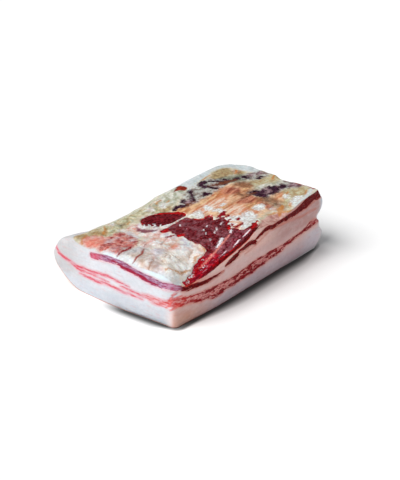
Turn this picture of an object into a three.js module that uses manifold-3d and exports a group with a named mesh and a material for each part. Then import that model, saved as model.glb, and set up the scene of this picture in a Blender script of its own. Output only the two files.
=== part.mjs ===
// Raw pork belly slab, lying skin side down: five layers that run through the slab (back fat with its
// rind, lower lean, middle fat, upper lean, inner fat) and two thin sheets of skirt muscle on the inner side.
// Millimetres, +Z up, +X along the long cut; the origin is at the centre of the bottom of the slab's box.
// Shapes are worked out in a frame whose origin is the near corner of the base, then moved to the origin.
import * as THREE from 'three';
import Module from 'manifold-3d';

// Driving dimensions
const LENGTH = 230; // along the long cut
const SKIN_WIDTH = 157; // across the skin side, up to the curled back edge
const INNER_WIDTH = 126; // across the inner side
const FAR_WIDENING = 4; // the inner side is this much wider at the far end
const NEAR_THICK = 53; // slab thickness at the near short cut
const FAR_THICK = 63; // slab thickness at the far end
const LAYER_GAP = 0.35; // clearance between touching layers
const SHEET_THICK = 1.6; // skirt muscle sheets
const LEAST_LEAN = 1; // half the thinnest lean layer
const LEAST_INNER_FAT = 2.2; // thinnest inner fat
const MIDDLE = { x: 122.47, y: 77.07 }; // centre of the slab's box, from the near corner

// Edges
const CURL = { rise: 27, farLoss: 6, start: 0.73 }; // the skin rises along the back edge
const NOSE = { out: 8.5, farLoss: 0.3 }; // bulge of the back edge
const EDGE_ROUND = { width: 8, drop: 4 }; // worn edges of the inner side
const SKIN_TUCK = { inwards: 4, height: 2.5 }; // the cut faces draw in at the skin
const FACE_REACH = 12; // how sharply a cut face's own shape fades into the slab

// Forms of the inner side: how deep, where and how far each goes
const TRIM = { depth: 14.5, from: 30, to: 112, width: 7, widening: 22, widensTo: 60, steepness: 1.6 };
const WORN = { depth: 6, x: 152, length: 24, width: 20 };
const DIMPLE = { depth: 2.2, x: 8, y: 110, length: 18, width: 12 };
const HOLLOW = { depth: 2, x: 95, y: 62, length: 40, width: 30 };

// Forms of the end faces
const FAR_BULGES = [
  { out: 8, z: 13, spread: 7 },
  { out: -6.5, z: 35.5, spread: 5 },
  { out: 4.5, z: 48, spread: 8 },
];
const FAR_TOP = { inwards: 6, from: 54, to: 64 };
const FAR_FOOT = { inwards: 5, to: 7 };
const FAR_SLANT = 0.13;
const FAR_NOTCH = { inwards: 7, y: 44, width: 14 };
const NEAR_BULGE = { out: 1.5, middleOut: 3.5, y: 75, width: 50 };
const LONG_CUT_LEAN = { out: 3.2, from: 60 };

// Grid of each layer
const CELLS_LONG = 22;
const CELLS_ACROSS = 16;
const END_CROWDING = 0.65; // how much closer the grid lines stand at the ends

// Rounding of the slab's corners in plan: which corner, and its radius
const CORNERS = [
  { far: false, back: false, radius: 6 },
  { far: false, back: true, radius: 7 },
  { far: true, back: true, radius: 30 },
  { far: true, back: false, radius: 7 },
];

const { lerp, clamp, smoothstep } = THREE.MathUtils;
const bell = (value, centre, spread) => Math.exp(-(((value - centre) / spread) ** 2));

// Height of the inner side over the table at a place in plan.
function slabHeight(x, y) {
  const fromEdge = Math.max(y, 0);
  const even = lerp(NEAR_THICK, FAR_THICK, smoothstep(x, 10, 215));
  const trimWidth = TRIM.width + TRIM.widening * smoothstep(x, 0, TRIM.widensTo);
  const trimmed = Math.exp(-((fromEdge / trimWidth) ** TRIM.steepness));
  return (
    even -
    TRIM.depth * (1 - smoothstep(x, TRIM.from, TRIM.to)) * trimmed -
    WORN.depth * bell(x, WORN.x, WORN.length) * bell(fromEdge, 0, WORN.width) -
    DIMPLE.depth * bell(x, DIMPLE.x, DIMPLE.length) * bell(y, DIMPLE.y, DIMPLE.width) -
    HOLLOW.depth * bell(x, HOLLOW.x, HOLLOW.length) * bell(y, HOLLOW.y, HOLLOW.width)
  );
}

// How far the far end stands out at a height: a lower bulge, a groove at the lean, an upper bulge.
function farProfile(z) {
  const bulges = FAR_BULGES.reduce((sum, bulge) => sum + bulge.out * bell(z, bulge.z, bulge.spread), 0);
  const drawnIn = FAR_TOP.inwards * smoothstep(z, FAR_TOP.from, FAR_TOP.to);
  return bulges - drawnIn - FAR_FOOT.inwards * (1 - smoothstep(z, 0, FAR_FOOT.to));
}

// Distances inside two edges, drawn in so that their corner has a radius.
function roundCorner(dx, dy, radius) {
  const u = clamp(1 - dx / radius, 0, 1);
  const v = clamp(1 - dy / radius, 0, 1);
  if (u === 0 || v === 0) return [dx, dy];
  return [radius * (1 - u * Math.sqrt(1 - (v * v) / 2)), radius * (1 - v * Math.sqrt(1 - (u * u) / 2))];
}

// The point of the slab at shares of its length, width and thickness, raised by lift.
function place(along, across, depth, lift = 0) {
  const innerWidth = INNER_WIDTH + FAR_WIDENING * smoothstep(along * LENGTH, 120, 210);
  const width = lerp(SKIN_WIDTH, innerWidth, depth);
  let x = along * LENGTH;
  let y = across * width;
  const inside = clamp(1 - Math.min(x, LENGTH - x, width - y) / EDGE_ROUND.width, 0, 1);
  const edgeDrop = EDGE_ROUND.drop * inside ** 2 * depth ** 3;
  for (const { far, back, radius } of CORNERS) {
    const [dx, dy] = roundCorner(far ? LENGTH - x : x, back ? width - y : y, radius);
    x = far ? LENGTH - dx : dx;
    y = back ? width - dy : dy;
  }
  const curled = clamp((across - CURL.start) / (1 - CURL.start), 0, 1) ** 2;
  const skinZ = (CURL.rise - CURL.farLoss * smoothstep(x, 40, 220)) * curled;
  const z = lerp(skinZ, slabHeight(x, (y * innerWidth) / width), depth) - edgeDrop;

  const tuck = SKIN_TUCK.inwards * Math.exp(-(z - skinZ) / SKIN_TUCK.height);
  const nearEnd = (1 - along) ** FACE_REACH;
  const nearCut = (1 - across) ** FACE_REACH;
  x += farProfile(z) * along ** FACE_REACH * (1 - 0.5 * smoothstep(across, 0, 0.5));
  x += along ** 2 * (FAR_SLANT * y - FAR_NOTCH.inwards * depth * bell(y, FAR_NOTCH.y, FAR_NOTCH.width));
  x += nearEnd * (tuck - NEAR_BULGE.out - NEAR_BULGE.middleOut * bell(y, NEAR_BULGE.y, NEAR_BULGE.width));
  y += NOSE.out * Math.sin(Math.PI * depth) ** 0.8 * across ** 8 * (1 - NOSE.farLoss * along);
  y += nearCut * (tuck - LONG_CUT_LEAN.out * smoothstep(x, 0, LONG_CUT_LEAN.from));
  return new THREE.Vector3(x, y, z + lift);
}

// The lean layers: height of the middle of each over the table, and half its thickness.
function lowerLean(x, y) {
  const cornerRise = 4.5 * Math.exp(-(x * x + y * y) / 18 ** 2);
  const sag = 4 * bell(x, 68, 32) * bell(y, 0, 40);
  const farRise = 8.5 * smoothstep(x, 150, 225);
  const half = 4.8 - 2.8 * smoothstep(x, 155, 176) + 1.2 * bell(x, 210, 14);
  return { middle: 22.5 + cornerRise - sag + farRise, half };
}

function upperLean(x, y) {
  const byLongCut = bell(y, 0, 22);
  const byShortCut = bell(x, 0, 30);
  const longCut = 36 - 3 * bell(x, 48, 20) + 16 * smoothstep(x, 52, 138) + 9 * smoothstep(x, 165, 222);
  const shortCut = 39.5 + 7 * bell(y, 72, 24);
  const inside = slabHeight(x, y) - 11;
  const middle = lerp(lerp(inside, shortCut, byShortCut), longCut, byLongCut);
  const tapering = 1 - smoothstep(y, 92, 104);
  const full = lerp(3.2, 1.1 + 2.7 * smoothstep(x, 150, 198), byLongCut);
  const half = lerp(LEAST_LEAN, full, tapering);
  return { middle: Math.min(middle, slabHeight(x, y) - LEAST_INNER_FAT - half), half };
}

// The surfaces between the layers, from the skin up, as shares of the thickness.
function surface(number, along, across) {
  const x = along * LENGTH;
  const y = across * INNER_WIDTH;
  const height = slabHeight(x, y);
  const lower = lowerLean(x, y);
  const upper = upperLean(x, y);
  const heights = [
    0,
    lower.middle - lower.half,
    lower.middle + lower.half,
    upper.middle - upper.half,
    upper.middle + upper.half,
    height,
  ];
  return heights[number] / height;
}

// Grid lines that stand closer together towards both ends.
function spread(index, count) {
  const even = index / count;
  return lerp(even, 0.5 - 0.5 * Math.cos(Math.PI * even), END_CROWDING);
}

// A closed body between two sheets of points, floor and roof, with rows of faces on its walls.
// point(along, across, rise) gives its surface, with rise from 0 at the floor to 1 at the roof.
function slabBody(point, rows) {
  const positions = [];
  const indices = [];
  const numbers = new Map();
  const vertex = (i, j, row) => {
    const key = `${i},${j},${row}`;
    if (!numbers.has(key)) {
      numbers.set(key, positions.length / 3);
      positions.push(...point(spread(i, CELLS_LONG), spread(j, CELLS_ACROSS), row / rows).toArray());
    }
    return numbers.get(key);
  };
  const quad = (a, b, c, d) => indices.push(a, b, c, a, c, d);
  for (let i = 0; i < CELLS_LONG; i += 1) {
    for (let j = 0; j < CELLS_ACROSS; j += 1) {
      // Each cell is split along the diagonal that points at the nearest corner of the slab.
      const outward = (i < CELLS_LONG / 2) === (j < CELLS_ACROSS / 2);
      const ring = [[i, j], [i + 1, j], [i + 1, j + 1], [i, j + 1]];
      const roof = ring.map(([a, b]) => vertex(a, b, rows));
      const floor = [0, 3, 2, 1].map((k) => vertex(...ring[k], 0));
      if (!outward) {
        roof.push(roof.shift());
        floor.push(floor.shift());
      }
      quad(...roof);
      quad(...floor);
    }
  }
  const wallCell = (from, to, row) => {
    quad(vertex(...from, row), vertex(...to, row), vertex(...to, row + 1), vertex(...from, row + 1));
  };
  for (let row = 0; row < rows; row += 1) {
    for (let i = 0; i < CELLS_LONG; i += 1) {
      wallCell([i, 0], [i + 1, 0], row);
      wallCell([i + 1, CELLS_ACROSS], [i, CELLS_ACROSS], row);
    }
    for (let j = 0; j < CELLS_ACROSS; j += 1) {
      wallCell([CELLS_LONG, j], [CELLS_LONG, j + 1], row);
      wallCell([0, j + 1], [0, j], row);
    }
  }
  const geometry = new THREE.BufferGeometry();
  geometry.setAttribute('position', new THREE.Float32BufferAttribute(positions, 3));
  geometry.setIndex(indices);
  return geometry;
}

const LAYERS = 5;

// A layer between two of the numbered surfaces, with half the clearance taken off each touching side.
function layer(lowerSurface, rows) {
  const lowGap = lowerSurface === 0 ? 0 : LAYER_GAP / 2;
  const highGap = lowerSurface === LAYERS - 1 ? 0 : LAYER_GAP / 2;
  return slabBody((along, across, rise) => {
    const floor = surface(lowerSurface, along, across);
    const roof = surface(lowerSurface + 1, along, across);
    return place(along, across, lerp(floor, roof, rise), lerp(lowGap, -highGap, rise));
  }, rows);
}

const wasm = await Module();
wasm.setup();

function toSolid(geometry) {
  return new wasm.Manifold(
    new wasm.Mesh({
      numProp: 3,
      vertProperties: new Float32Array(geometry.getAttribute('position').array),
      triVerts: new Uint32Array(geometry.getIndex().array),
    }),
  );
}

function toGeometry(solid) {
  const mesh = solid.getMesh();
  const geometry = new THREE.BufferGeometry();
  geometry.setAttribute('position', new THREE.BufferAttribute(mesh.vertProperties, 3));
  geometry.setIndex(new THREE.BufferAttribute(mesh.triVerts, 1));
  return geometry;
}

// An upright prism over an outline in plan, tall enough to pass through the inner side.
function prism(outline) {
  const steps = outline.length * 2;
  const curve = new THREE.CatmullRomCurve3(
    outline.map(([x, y]) => new THREE.Vector3(x, y, 0)),
    true,
  );
  const ring = curve.getPoints(steps).slice(0, steps);
  const height = FAR_THICK * 2;
  const positions = [];
  const indices = [];
  for (const z of [0, height]) for (const { x, y } of ring) positions.push(x, y, z);
  const faces = THREE.ShapeUtils.triangulateShape(ring.map(({ x, y }) => new THREE.Vector2(x, y)), []);
  for (const [a, b, c] of faces) indices.push(a, c, b, a + steps, b + steps, c + steps);
  for (let i = 0; i < steps; i += 1) {
    const next = (i + 1) % steps;
    indices.push(i, next, next + steps, i, next + steps, i + steps);
  }
  const geometry = new THREE.BufferGeometry();
  geometry.setAttribute('position', new THREE.Float32BufferAttribute(positions, 3));
  geometry.setIndex(indices);
  return geometry;
}

// A thin sheet of muscle that follows the inner side, inside an outline in plan.
function muscleSheet(outline) {
  const cover = slabBody(
    (along, across, rise) => place(along, across, 1, LAYER_GAP + rise * SHEET_THICK),
    1,
  );
  return toGeometry(toSolid(cover).intersect(toSolid(prism(outline))));
}

// Outlines in plan, anticlockwise, from the near corner. The skirt reaches over the long cut's edge.
const SKIRT_OUTLINE = [
  [6, -9], [60, -12], [112, -9], [130, 6], [118, 9], [101, 16], [109, 23], [118, 31], [119, 41],
  [111, 46], [111, 51], [103, 56], [101, 67], [95, 71], [82, 70], [64, 68], [62, 55], [69, 44],
  [66, 28], [58, 16], [34, 9], [10, 3],
];
const SMALL_SKIRT_OUTLINE = [
  [73, 79], [84, 77], [95, 76], [103, 76], [100, 86], [90, 97], [79, 103], [67, 104], [63, 97], [67, 87],
];

const FAT = { color: 0xe9e2e2, roughness: 0.45, metalness: 0 };
const FAT_UNDER_SKIN = { color: 0xd9cfd1, roughness: 0.5, metalness: 0 };
const STREAKED = { color: 0xd9929a, roughness: 0.45, metalness: 0 };
const LEAN = { color: 0x8c2b38, roughness: 0.4, metalness: 0 };
const SKIRT = { color: 0x7a1d26, roughness: 0.35, metalness: 0 };

const slab = new THREE.Group();
slab.position.set(-MIDDLE.x, -MIDDLE.y, 0);

function add(name, geometry, look) {
  const mesh = new THREE.Mesh(geometry, new THREE.MeshStandardMaterial(look));
  mesh.name = name;
  slab.add(mesh);
}

add('back_fat', layer(0, 6), FAT_UNDER_SKIN);
add('lower_lean', layer(1, 2), STREAKED);
add('middle_fat', layer(2, 6), FAT);
add('upper_lean', layer(3, 1), LEAN);
add('inner_fat', layer(4, 3), FAT);
add('skirt_muscle', muscleSheet(SKIRT_OUTLINE), SKIRT);
add('small_skirt_muscle', muscleSheet(SMALL_SKIRT_OUTLINE), SKIRT);

export default slab;
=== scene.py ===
# Raw pork belly slab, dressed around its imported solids: five layers and two sheets of muscle on top.
# Shapes are worked out in millimetres from the near corner of the slab's base: x runs along the long cut,
# y across the slab and z up. Each finished piece is then moved to the frame, in metres.
import math

import bmesh
import bpy
import numpy as np
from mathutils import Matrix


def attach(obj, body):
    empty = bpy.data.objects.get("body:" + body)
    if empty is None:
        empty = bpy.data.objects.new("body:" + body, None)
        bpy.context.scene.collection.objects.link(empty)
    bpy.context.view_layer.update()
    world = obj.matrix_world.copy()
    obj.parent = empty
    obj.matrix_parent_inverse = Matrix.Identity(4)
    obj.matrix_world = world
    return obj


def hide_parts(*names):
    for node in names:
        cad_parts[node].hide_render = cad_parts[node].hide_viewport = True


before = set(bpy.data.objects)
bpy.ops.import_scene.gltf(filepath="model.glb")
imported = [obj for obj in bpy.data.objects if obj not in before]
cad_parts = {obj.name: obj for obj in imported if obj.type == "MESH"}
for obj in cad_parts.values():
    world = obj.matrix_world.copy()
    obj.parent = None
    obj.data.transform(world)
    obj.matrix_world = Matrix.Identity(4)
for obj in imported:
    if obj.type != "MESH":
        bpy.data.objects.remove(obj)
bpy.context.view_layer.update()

# ---------------------------------------------------------------- The slab's form, as its solids have it

MILLIMETRE = 0.001
LENGTH = 230
SKIN_WIDTH = 157
INNER_WIDTH = 126
FAR_WIDENING = 4
NEAR_THICK = 53
FAR_THICK = 63
LEAST_LEAN = 1
LEAST_INNER_FAT = 2.2
MIDDLE = (122.47, 77.07)

CURL_RISE, CURL_FAR_LOSS, CURL_START = 27, 6, 0.73
NOSE_OUT, NOSE_FAR_LOSS = 8.5, 0.3
EDGE_WIDTH, EDGE_DROP = 8, 3
TUCK_INWARDS, TUCK_HEIGHT = 1, 2.5
FAR_SLANT = 0.13
# How close to an edge a form keeps: the power of the share of the way to it
FACE_REACH, NOSE_REACH, BACK_LIFT_REACH, FAR_LIFT_REACH = 12, 8, 6, 20
# Shares of the thickness over which the corners change their radius and the lifts set in
CORNER_CHANGE = (0.3, 0.85)
LIFT_CHANGE = (0.2, 0.7)

# Corners in plan: far, back, radius at the skin and at the inner side
CORNERS = [(False, False, 4, 16), (False, True, 7, 7), (True, True, 30, 30), (True, False, 7, 5)]
# Bulges of the far end: how far out, at which height, and how tall
FAR_BULGES = [(8, 13, 7), (-6.5, 35.5, 5), (4.5, 48, 8)]
# How much higher the upper part of the slab lies along its back (by x) and along its far end (by y)
BACK_LIFTS = [
    (0, 3.8), (5, 3.5), (13, 2.6), (21, 1.5), (29, -0.5), (36, -1.9), (44, -2.5), (60, -3.1), (68, -4.3),
    (76, -4.6), (86, -4.3), (95, -3.7), (103, -2.3), (112, -1.9), (120, -1), (127, 1), (150, 1), (170, 1),
    (180, 0.2), (210, 0), (221, -1.4), (232, -1.4),
]
FAR_LIFTS = [
    (-3, 3.6), (0, 3.5), (7, 1.8), (20, 1.4), (34, 1.4), (40, 2.2), (46, 3.0), (56, 3.9), (65, 1.6),
    (74, 1.2), (82, 1.2), (93, 3.1), (100, 2.2), (107, 0.8), (115, 0),
]


def smoothstep(value, low, high):
    share = np.clip((value - low) / (high - low), 0, 1)
    return share * share * (3 - 2 * share)


def bell(value, centre, spread):
    return np.exp(-(((value - centre) / spread) ** 2))


def lerp(low, high, share):
    return low + (high - low) * share


def slab_height(x, y):
    """Height of the inner side over the table."""
    from_edge = np.maximum(y, 0)
    even = lerp(NEAR_THICK, FAR_THICK, smoothstep(x, 10, 215))
    trim_width = 7 + 22 * smoothstep(x, 0, 60)
    trimmed = 14.5 * (1 - smoothstep(x, 30, 112)) * np.exp(-((from_edge / trim_width) ** 1.6))
    worn = 6 * bell(x, 152, 24) * bell(from_edge, 0, 20)
    dimple = 2.2 * bell(x, 8, 18) * bell(y, 110, 12)
    hollow = 2 * bell(x, 95, 40) * bell(y, 62, 30)
    return even - trimmed - worn - dimple - hollow


def far_profile(z):
    """How far the far end stands out at a height."""
    bulges = sum(out * bell(z, height, spread) for out, height, spread in FAR_BULGES)
    return bulges - 5 * smoothstep(z, 55, 66) - 5 * (1 - smoothstep(z, 0, 7))


def round_corner(dx, dy, radius):
    """Distances inside two edges, drawn in so that their corner has a radius."""
    u = np.clip(1 - dx / radius, 0, 1)
    v = np.clip(1 - dy / radius, 0, 1)
    inside = (u > 0) & (v > 0)
    rounded_x = radius * (1 - u * np.sqrt(1 - v * v / 2))
    rounded_y = radius * (1 - v * np.sqrt(1 - u * u / 2))
    return np.where(inside, rounded_x, dx), np.where(inside, rounded_y, dy)


def inner_width(along):
    return INNER_WIDTH + FAR_WIDENING * smoothstep(along * LENGTH, 120, 210)


def place(along, across, depth):
    """The point at shares of the slab's length, width and thickness, and its height over the skin."""
    inner = inner_width(along)
    width = lerp(SKIN_WIDTH, inner, depth)
    x = along * LENGTH
    y = across * width
    nearest = np.minimum(np.minimum(x, LENGTH - x), width - y)
    edge_drop = EDGE_DROP * np.clip(1 - nearest / EDGE_WIDTH, 0, 1) ** 2 * depth**3
    for far, back, skin_radius, inner_radius in CORNERS:
        radius = lerp(skin_radius, inner_radius, smoothstep(depth, *CORNER_CHANGE))
        dx, dy = round_corner(LENGTH - x if far else x, width - y if back else y, radius)
        x = LENGTH - dx if far else dx
        y = width - dy if back else dy
    curled = np.clip((across - CURL_START) / (1 - CURL_START), 0, 1) ** 2
    skin_z = (CURL_RISE - CURL_FAR_LOSS * smoothstep(x, 40, 220)) * curled
    z = lerp(skin_z, slab_height(x, y * inner / width), depth) - edge_drop

    tuck = TUCK_INWARDS * np.exp(-(z - skin_z) / TUCK_HEIGHT)
    back_lift = across**BACK_LIFT_REACH * np.interp(x, *zip(*BACK_LIFTS))
    far_lift = along**FAR_LIFT_REACH * np.interp(y, *zip(*FAR_LIFTS))
    z = z + smoothstep(depth, *LIFT_CHANGE) * (back_lift + far_lift)
    near_end = (1 - along) ** FACE_REACH
    near_cut = (1 - across) ** FACE_REACH
    x = x + far_profile(z) * along**FACE_REACH * (1 - 0.5 * smoothstep(across, 0, 0.5))
    notch = 7 * depth * bell(y, 44, 14)
    x = x + along**2 * (FAR_SLANT * y - notch)
    x = x + near_end * (tuck - 1.5 - 3.5 * bell(y, 75, 50))
    nose = NOSE_OUT * np.abs(np.sin(math.pi * depth)) ** 0.8
    y = y + nose * across**NOSE_REACH * (1 - NOSE_FAR_LOSS * along)
    y = y + near_cut * (tuck - 3.2 * smoothstep(x, 0, 60))
    return x, y, z, z - skin_z


def surface(number, along, across):
    """The surfaces between the layers, from the skin up, as shares of the thickness."""
    x = along * LENGTH
    y = across * INNER_WIDTH
    height = slab_height(x, y)

    corner_rise = 4.5 * np.exp(-(x * x + y * y) / 18**2)
    sag = 4 * bell(x, 68, 32) * bell(y, 0, 40)
    lower = 22.5 + corner_rise - sag + 8.5 * smoothstep(x, 150, 225)
    lower_half = 4.8 - 2.8 * smoothstep(x, 155, 176) + 1.2 * bell(x, 210, 14)

    by_long_cut = bell(y, 0, 22)
    long_cut = 36 - 3 * bell(x, 48, 20) + 16 * smoothstep(x, 52, 138) + 9 * smoothstep(x, 165, 222)
    short_cut = 39.5 + 7 * bell(y, 72, 24)
    upper = lerp(lerp(height - 11, short_cut, bell(x, 0, 30)), long_cut, by_long_cut)
    full = lerp(3.2, 1.1 + 2.7 * smoothstep(x, 150, 198), by_long_cut)
    upper_half = lerp(LEAST_LEAN, full, 1 - smoothstep(y, 92, 104))
    upper = np.minimum(upper, height - LEAST_INNER_FAT - upper_half)
    heights = [
        0 * height,
        lower - lower_half,
        lower + lower_half,
        upper - upper_half,
        upper + upper_half,
        height,
    ]
    return heights[number] / height


# ---------------------------------------------------------------- Uneven flesh: smooth noise and lobules

LATTICE = 32


def lumps(x, y, z, size, seed):
    """Smooth noise from -1 to 1, with lumps of a given size."""
    lattice = np.random.default_rng(seed).uniform(-1, 1, (LATTICE, LATTICE, LATTICE))
    corner = [np.floor(value / size).astype(int) for value in (x, y, z)]
    share = [smoothstep(value / size - low, 0, 1) for value, low in zip((x, y, z), corner)]
    total = 0
    for step in np.ndindex(2, 2, 2):
        weight = 1
        spot = []
        for axis in range(3):
            weight = weight * (share[axis] if step[axis] else 1 - share[axis])
            spot.append((corner[axis] + step[axis]) % LATTICE)
        total = total + weight * lattice[tuple(spot)]
    return total


def uneven(x, y, *layers, z=None):
    """Layers of lumps added up, each as its height, size and seed; in plan only where z isn't given."""
    return sum(height * lumps(x, y, 0 * x if z is None else z, size, seed) for height, size, seed in layers)


def lobules(x, y, size, seed):
    """Rounded lumps that meet in creases: 0 in a crease, 1 on a lump's middle."""
    jitter = np.random.default_rng(seed).uniform(0, 1, (LATTICE, LATTICE, 2))
    u, v = x / size, y / size
    i, j = np.floor(u).astype(int), np.floor(v).astype(int)
    first = np.full(u.shape, 9.0)
    second = np.full(u.shape, 9.0)
    for a in (-1, 0, 1):
        for b in (-1, 0, 1):
            spot = jitter[(i + a) % LATTICE, (j + b) % LATTICE]
            gap = np.hypot(u - i - a - spot[:, 0], v - j - b - spot[:, 1])
            second = np.minimum(second, np.maximum(first, gap))
            first = np.minimum(first, gap)
    return smoothstep(second - first, 0, 0.7)


# ---------------------------------------------------------------- Where the colours lie

FAR_AWAY = 8.0  # distances past this, in millimetres, make no difference
CORNER_CUT = 0.22  # share of a side that is cut off at each of its ends


def from_segment(u, v, start, end):
    """The share along a segment at which it comes nearest, and the distance to it there."""
    du, dv = end[0] - start[0], end[1] - start[1]
    share = np.clip(((u - start[0]) * du + (v - start[1]) * dv) / (du * du + dv * dv), 0, 1)
    return share, np.hypot(u - start[0] - share * du, v - start[1] - share * dv)


def ribbon_distance(u, v, ribbons):
    """Distance to the nearest ribbon's edge, negative inside. A ribbon is a run of (u, v, half width)."""
    nearest = np.full(u.shape, FAR_AWAY)
    for ribbon in ribbons:
        for start, end in zip(ribbon, ribbon[1:]):
            share, gap = from_segment(u, v, start, end)
            nearest = np.minimum(nearest, gap - lerp(start[2], end[2], share))
    return nearest


def softened(outline):
    """The outline with each corner cut twice, so that it bends smoothly."""
    points = [np.array(point, float) for point in outline]
    for _ in range(2):
        cut = []
        for here, after in zip(points, points[1:] + points[:1]):
            cut += [lerp(here, after, CORNER_CUT), lerp(here, after, 1 - CORNER_CUT)]
        points = cut
    return points


def outline_distance(u, v, outlines):
    """Distance to the edge of the nearest outline, negative inside."""
    nearest = np.full(u.shape, FAR_AWAY)
    for outline in outlines:
        points = softened(outline)
        low = np.min(points, 0) - FAR_AWAY
        high = np.max(points, 0) + FAR_AWAY
        close = np.flatnonzero((u > low[0]) & (u < high[0]) & (v > low[1]) & (v < high[1]))
        near_u, near_v = u[close], v[close]
        edge = np.full(near_u.shape, 2 * FAR_AWAY)
        inside = np.zeros(near_u.shape, bool)
        for start, end in zip(points, points[1:] + points[:1]):
            edge = np.minimum(edge, from_segment(near_u, near_v, start, end)[1])
            du, dv = end - start
            if dv != 0:
                crossing = du * (near_v - start[1]) / dv + start[0]
                inside ^= ((start[1] > near_v) != (end[1] > near_v)) & (near_u < crossing)
        nearest[close] = np.minimum(nearest[close], np.where(inside, -edge, edge))
    return nearest


# Marks on the cut faces, as runs of (way along the faces, height, half width). The way is 0 at the near
# corner, grows along the long cut and then along the far end, and falls along the short cut and the back.
CUT_MARKS = {
    "upper_band": [
        [(-97, 44.2, 3.1), (-90, 45.2, 2.9), (-85, 45.8, 3), (-78, 47.1, 3.4), (-71, 47.9, 3.4),
         (-66, 48, 3.1), (-63, 47.2, 3.5), (-58, 46.1, 3.6), (-51, 44.6, 3.3), (-43, 43.3, 3.2),
         (-36, 41.8, 3.1), (-29, 40.2, 3.6), (-22, 39.4, 3.6), (-17, 39.2, 3.2), (-10, 39, 3.2),
         (-5, 38.9, 3.3), (0, 38.5, 3.1), (4, 37.3, 2.6), (8, 35.6, 2.2), (17, 34.2, 2.1), (24, 33.6, 2.1),
         (32, 32.8, 2), (40, 32.2, 1.9), (47, 32.6, 1.6), (56, 33.2, 1.2), (63, 33.4, 0.4)],
        [(113, 48.2, 0.9), (120, 50.2, 1.8), (127, 52.6, 2.2), (134, 53.3, 2), (139, 52, 2),
         (147, 52.3, 1.8), (156, 52.7, 2.3), (167, 53.1, 2.8), (177, 53.4, 3.2), (189, 55.2, 3.9),
         (200, 57.4, 5), (208, 59.4, 5.2), (214, 60.6, 5.2), (224, 60.2, 5), (236, 59.5, 4.4),
         (250, 58.5, 3.4), (275, 56.5, 2.4), (300, 54.5, 1.8), (330, 52.5, 1.4), (352, 50, 0.6)],
    ],
    "thin_streaks": [
        [(66, 38.2, 0.9), (74, 40.2, 1.9), (80, 41.8, 2.1), (84, 43.2, 1.5), (88, 44.9, 2), (97, 46.5, 2),
         (105, 47.2, 2.1), (110, 46.4, 1.9), (113, 44.2, 1)],
    ],
    "pink_streaks": [
        [(-360, 30, 0.3), (-330, 28, 1.2), (-290, 28.5, 1.3), (-250, 28, 1.5), (-210, 29.5, 1.4),
         (-175, 33, 1.4), (-160, 38, 1.6), (-152, 39.5, 1.8), (-146, 37.4, 2), (-141, 33.2, 2),
         (-135, 30.2, 1.8), (-127, 28.4, 1.7), (-119, 26.6, 1.5), (-112, 26.9, 1.4), (-105, 27.3, 1.1),
         (-97, 27.4, 1.3), (-91, 28.4, 1.2), (-86, 28.6, 1.3), (-78, 29.6, 1.6), (-72, 28.9, 1.1),
         (-65, 27.9, 1.2), (-59, 27.4, 1), (-52, 26.4, 0.3)],
        [(-126, 27.6, 1.5), (-119, 24.8, 1.7), (-112, 23.4, 1.4), (-103, 24.5, 0.9), (-94, 24.6, 1),
         (-86, 24.2, 0.8), (-76, 23.7, 0.3)],
        [(-115, 20, 0.6), (-105, 19.8, 1.3), (-98, 19.9, 1.4), (-90, 19.4, 1.8), (-84, 20.9, 1.4),
         (-77, 20.8, 1.3), (-71, 20.7, 1.2), (-64, 19.6, 1.4), (-58, 19, 1.2), (-51, 19.4, 1.1),
         (-43, 18.4, 0.8), (-37, 18.4, 0.3)],
        [(-63, 23.9, 0.5), (-55, 23.4, 1.1), (-48, 23.2, 1.1), (-42, 22.2, 1.3), (-37, 21.6, 1),
         (-32, 21.5, 0.4)],
    ],
    "pink_zone": [
        [(-37, 24, 0.6), (-30, 22.8, 2.6), (-23, 21.9, 3.6), (-17, 21.9, 3.4), (-10, 23, 3),
         (-3, 24.6, 3.4)],
    ],
    "lower_zone": [
        [(-9, 23.4, 2.4), (-3, 24.6, 3.4), (8, 24, 3.8), (14, 23.1, 3.2), (22, 21.8, 3.6), (31, 19.8, 4.8),
         (39, 20.1, 4.4), (46, 18.2, 5.7), (59, 17, 5.8), (67, 17.8, 4.5), (76, 17.4, 4.6), (87, 18.7, 4.6),
         (97, 19.7, 4.9), (109, 20, 5.7), (116, 21.2, 5.2), (126, 21, 4.8), (137, 22.6, 4), (147, 22.1, 4),
         (159, 23.2, 3.2), (164, 24.9, 1.8), (177, 26, 1.9), (189, 27.4, 1.5), (199, 28.7, 1.8),
         (209, 30.6, 3.4), (217, 31.2, 3.5), (224, 31.6, 2.6), (232, 32, 2), (250, 31.5, 2.2),
         (275, 31, 2.4), (300, 31, 2), (330, 34, 1.4), (352, 38, 0.6)],
    ],
    "strokes": [
        [(-11, 18.5, 0.5), (-7, 21.5, 1.3), (-3, 26, 1.5), (2, 29, 0.8), (8, 29.5, 0.3)],
        [(-13, 22.5, 0.4), (-8, 24.5, 1.2), (-4, 28.5, 1.4), (0, 32, 1.2), (4, 34, 0.5)],
        [(-7, 16.5, 0.4), (-1, 20, 1.2), (6, 22, 1.3), (13, 24, 0.6)],
        [(-3, 31, 0.5), (1, 34, 0.9), (5, 36, 0.6)],
    ],
    "crimson_edge": [
        [(-76, 46.2, 0.5), (-70, 46.4, 0.9), (-63, 45, 1.3), (-58, 43.9, 1.5), (-51, 42.6, 1.7),
         (-43, 41.6, 1.8), (-36, 40.2, 1.5), (-29, 38.2, 1.1), (-20, 37.6, 0.6)],
    ],
    "blush_lines": [
        [(95, 39.2, 0.8), (112, 42.2, 1.2), (125, 46.4, 1), (133, 48.9, 0.9), (150, 48.6, 0.7),
         (165, 48.4, 0.9), (188, 46.2, 1.2), (215, 45.6, 1.2)],
        [(60, 33, 0.3), (72, 36, 0.6), (90, 41, 0.5), (100, 43.2, 0.6), (112, 44, 0.4)],
    ],
}


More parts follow.
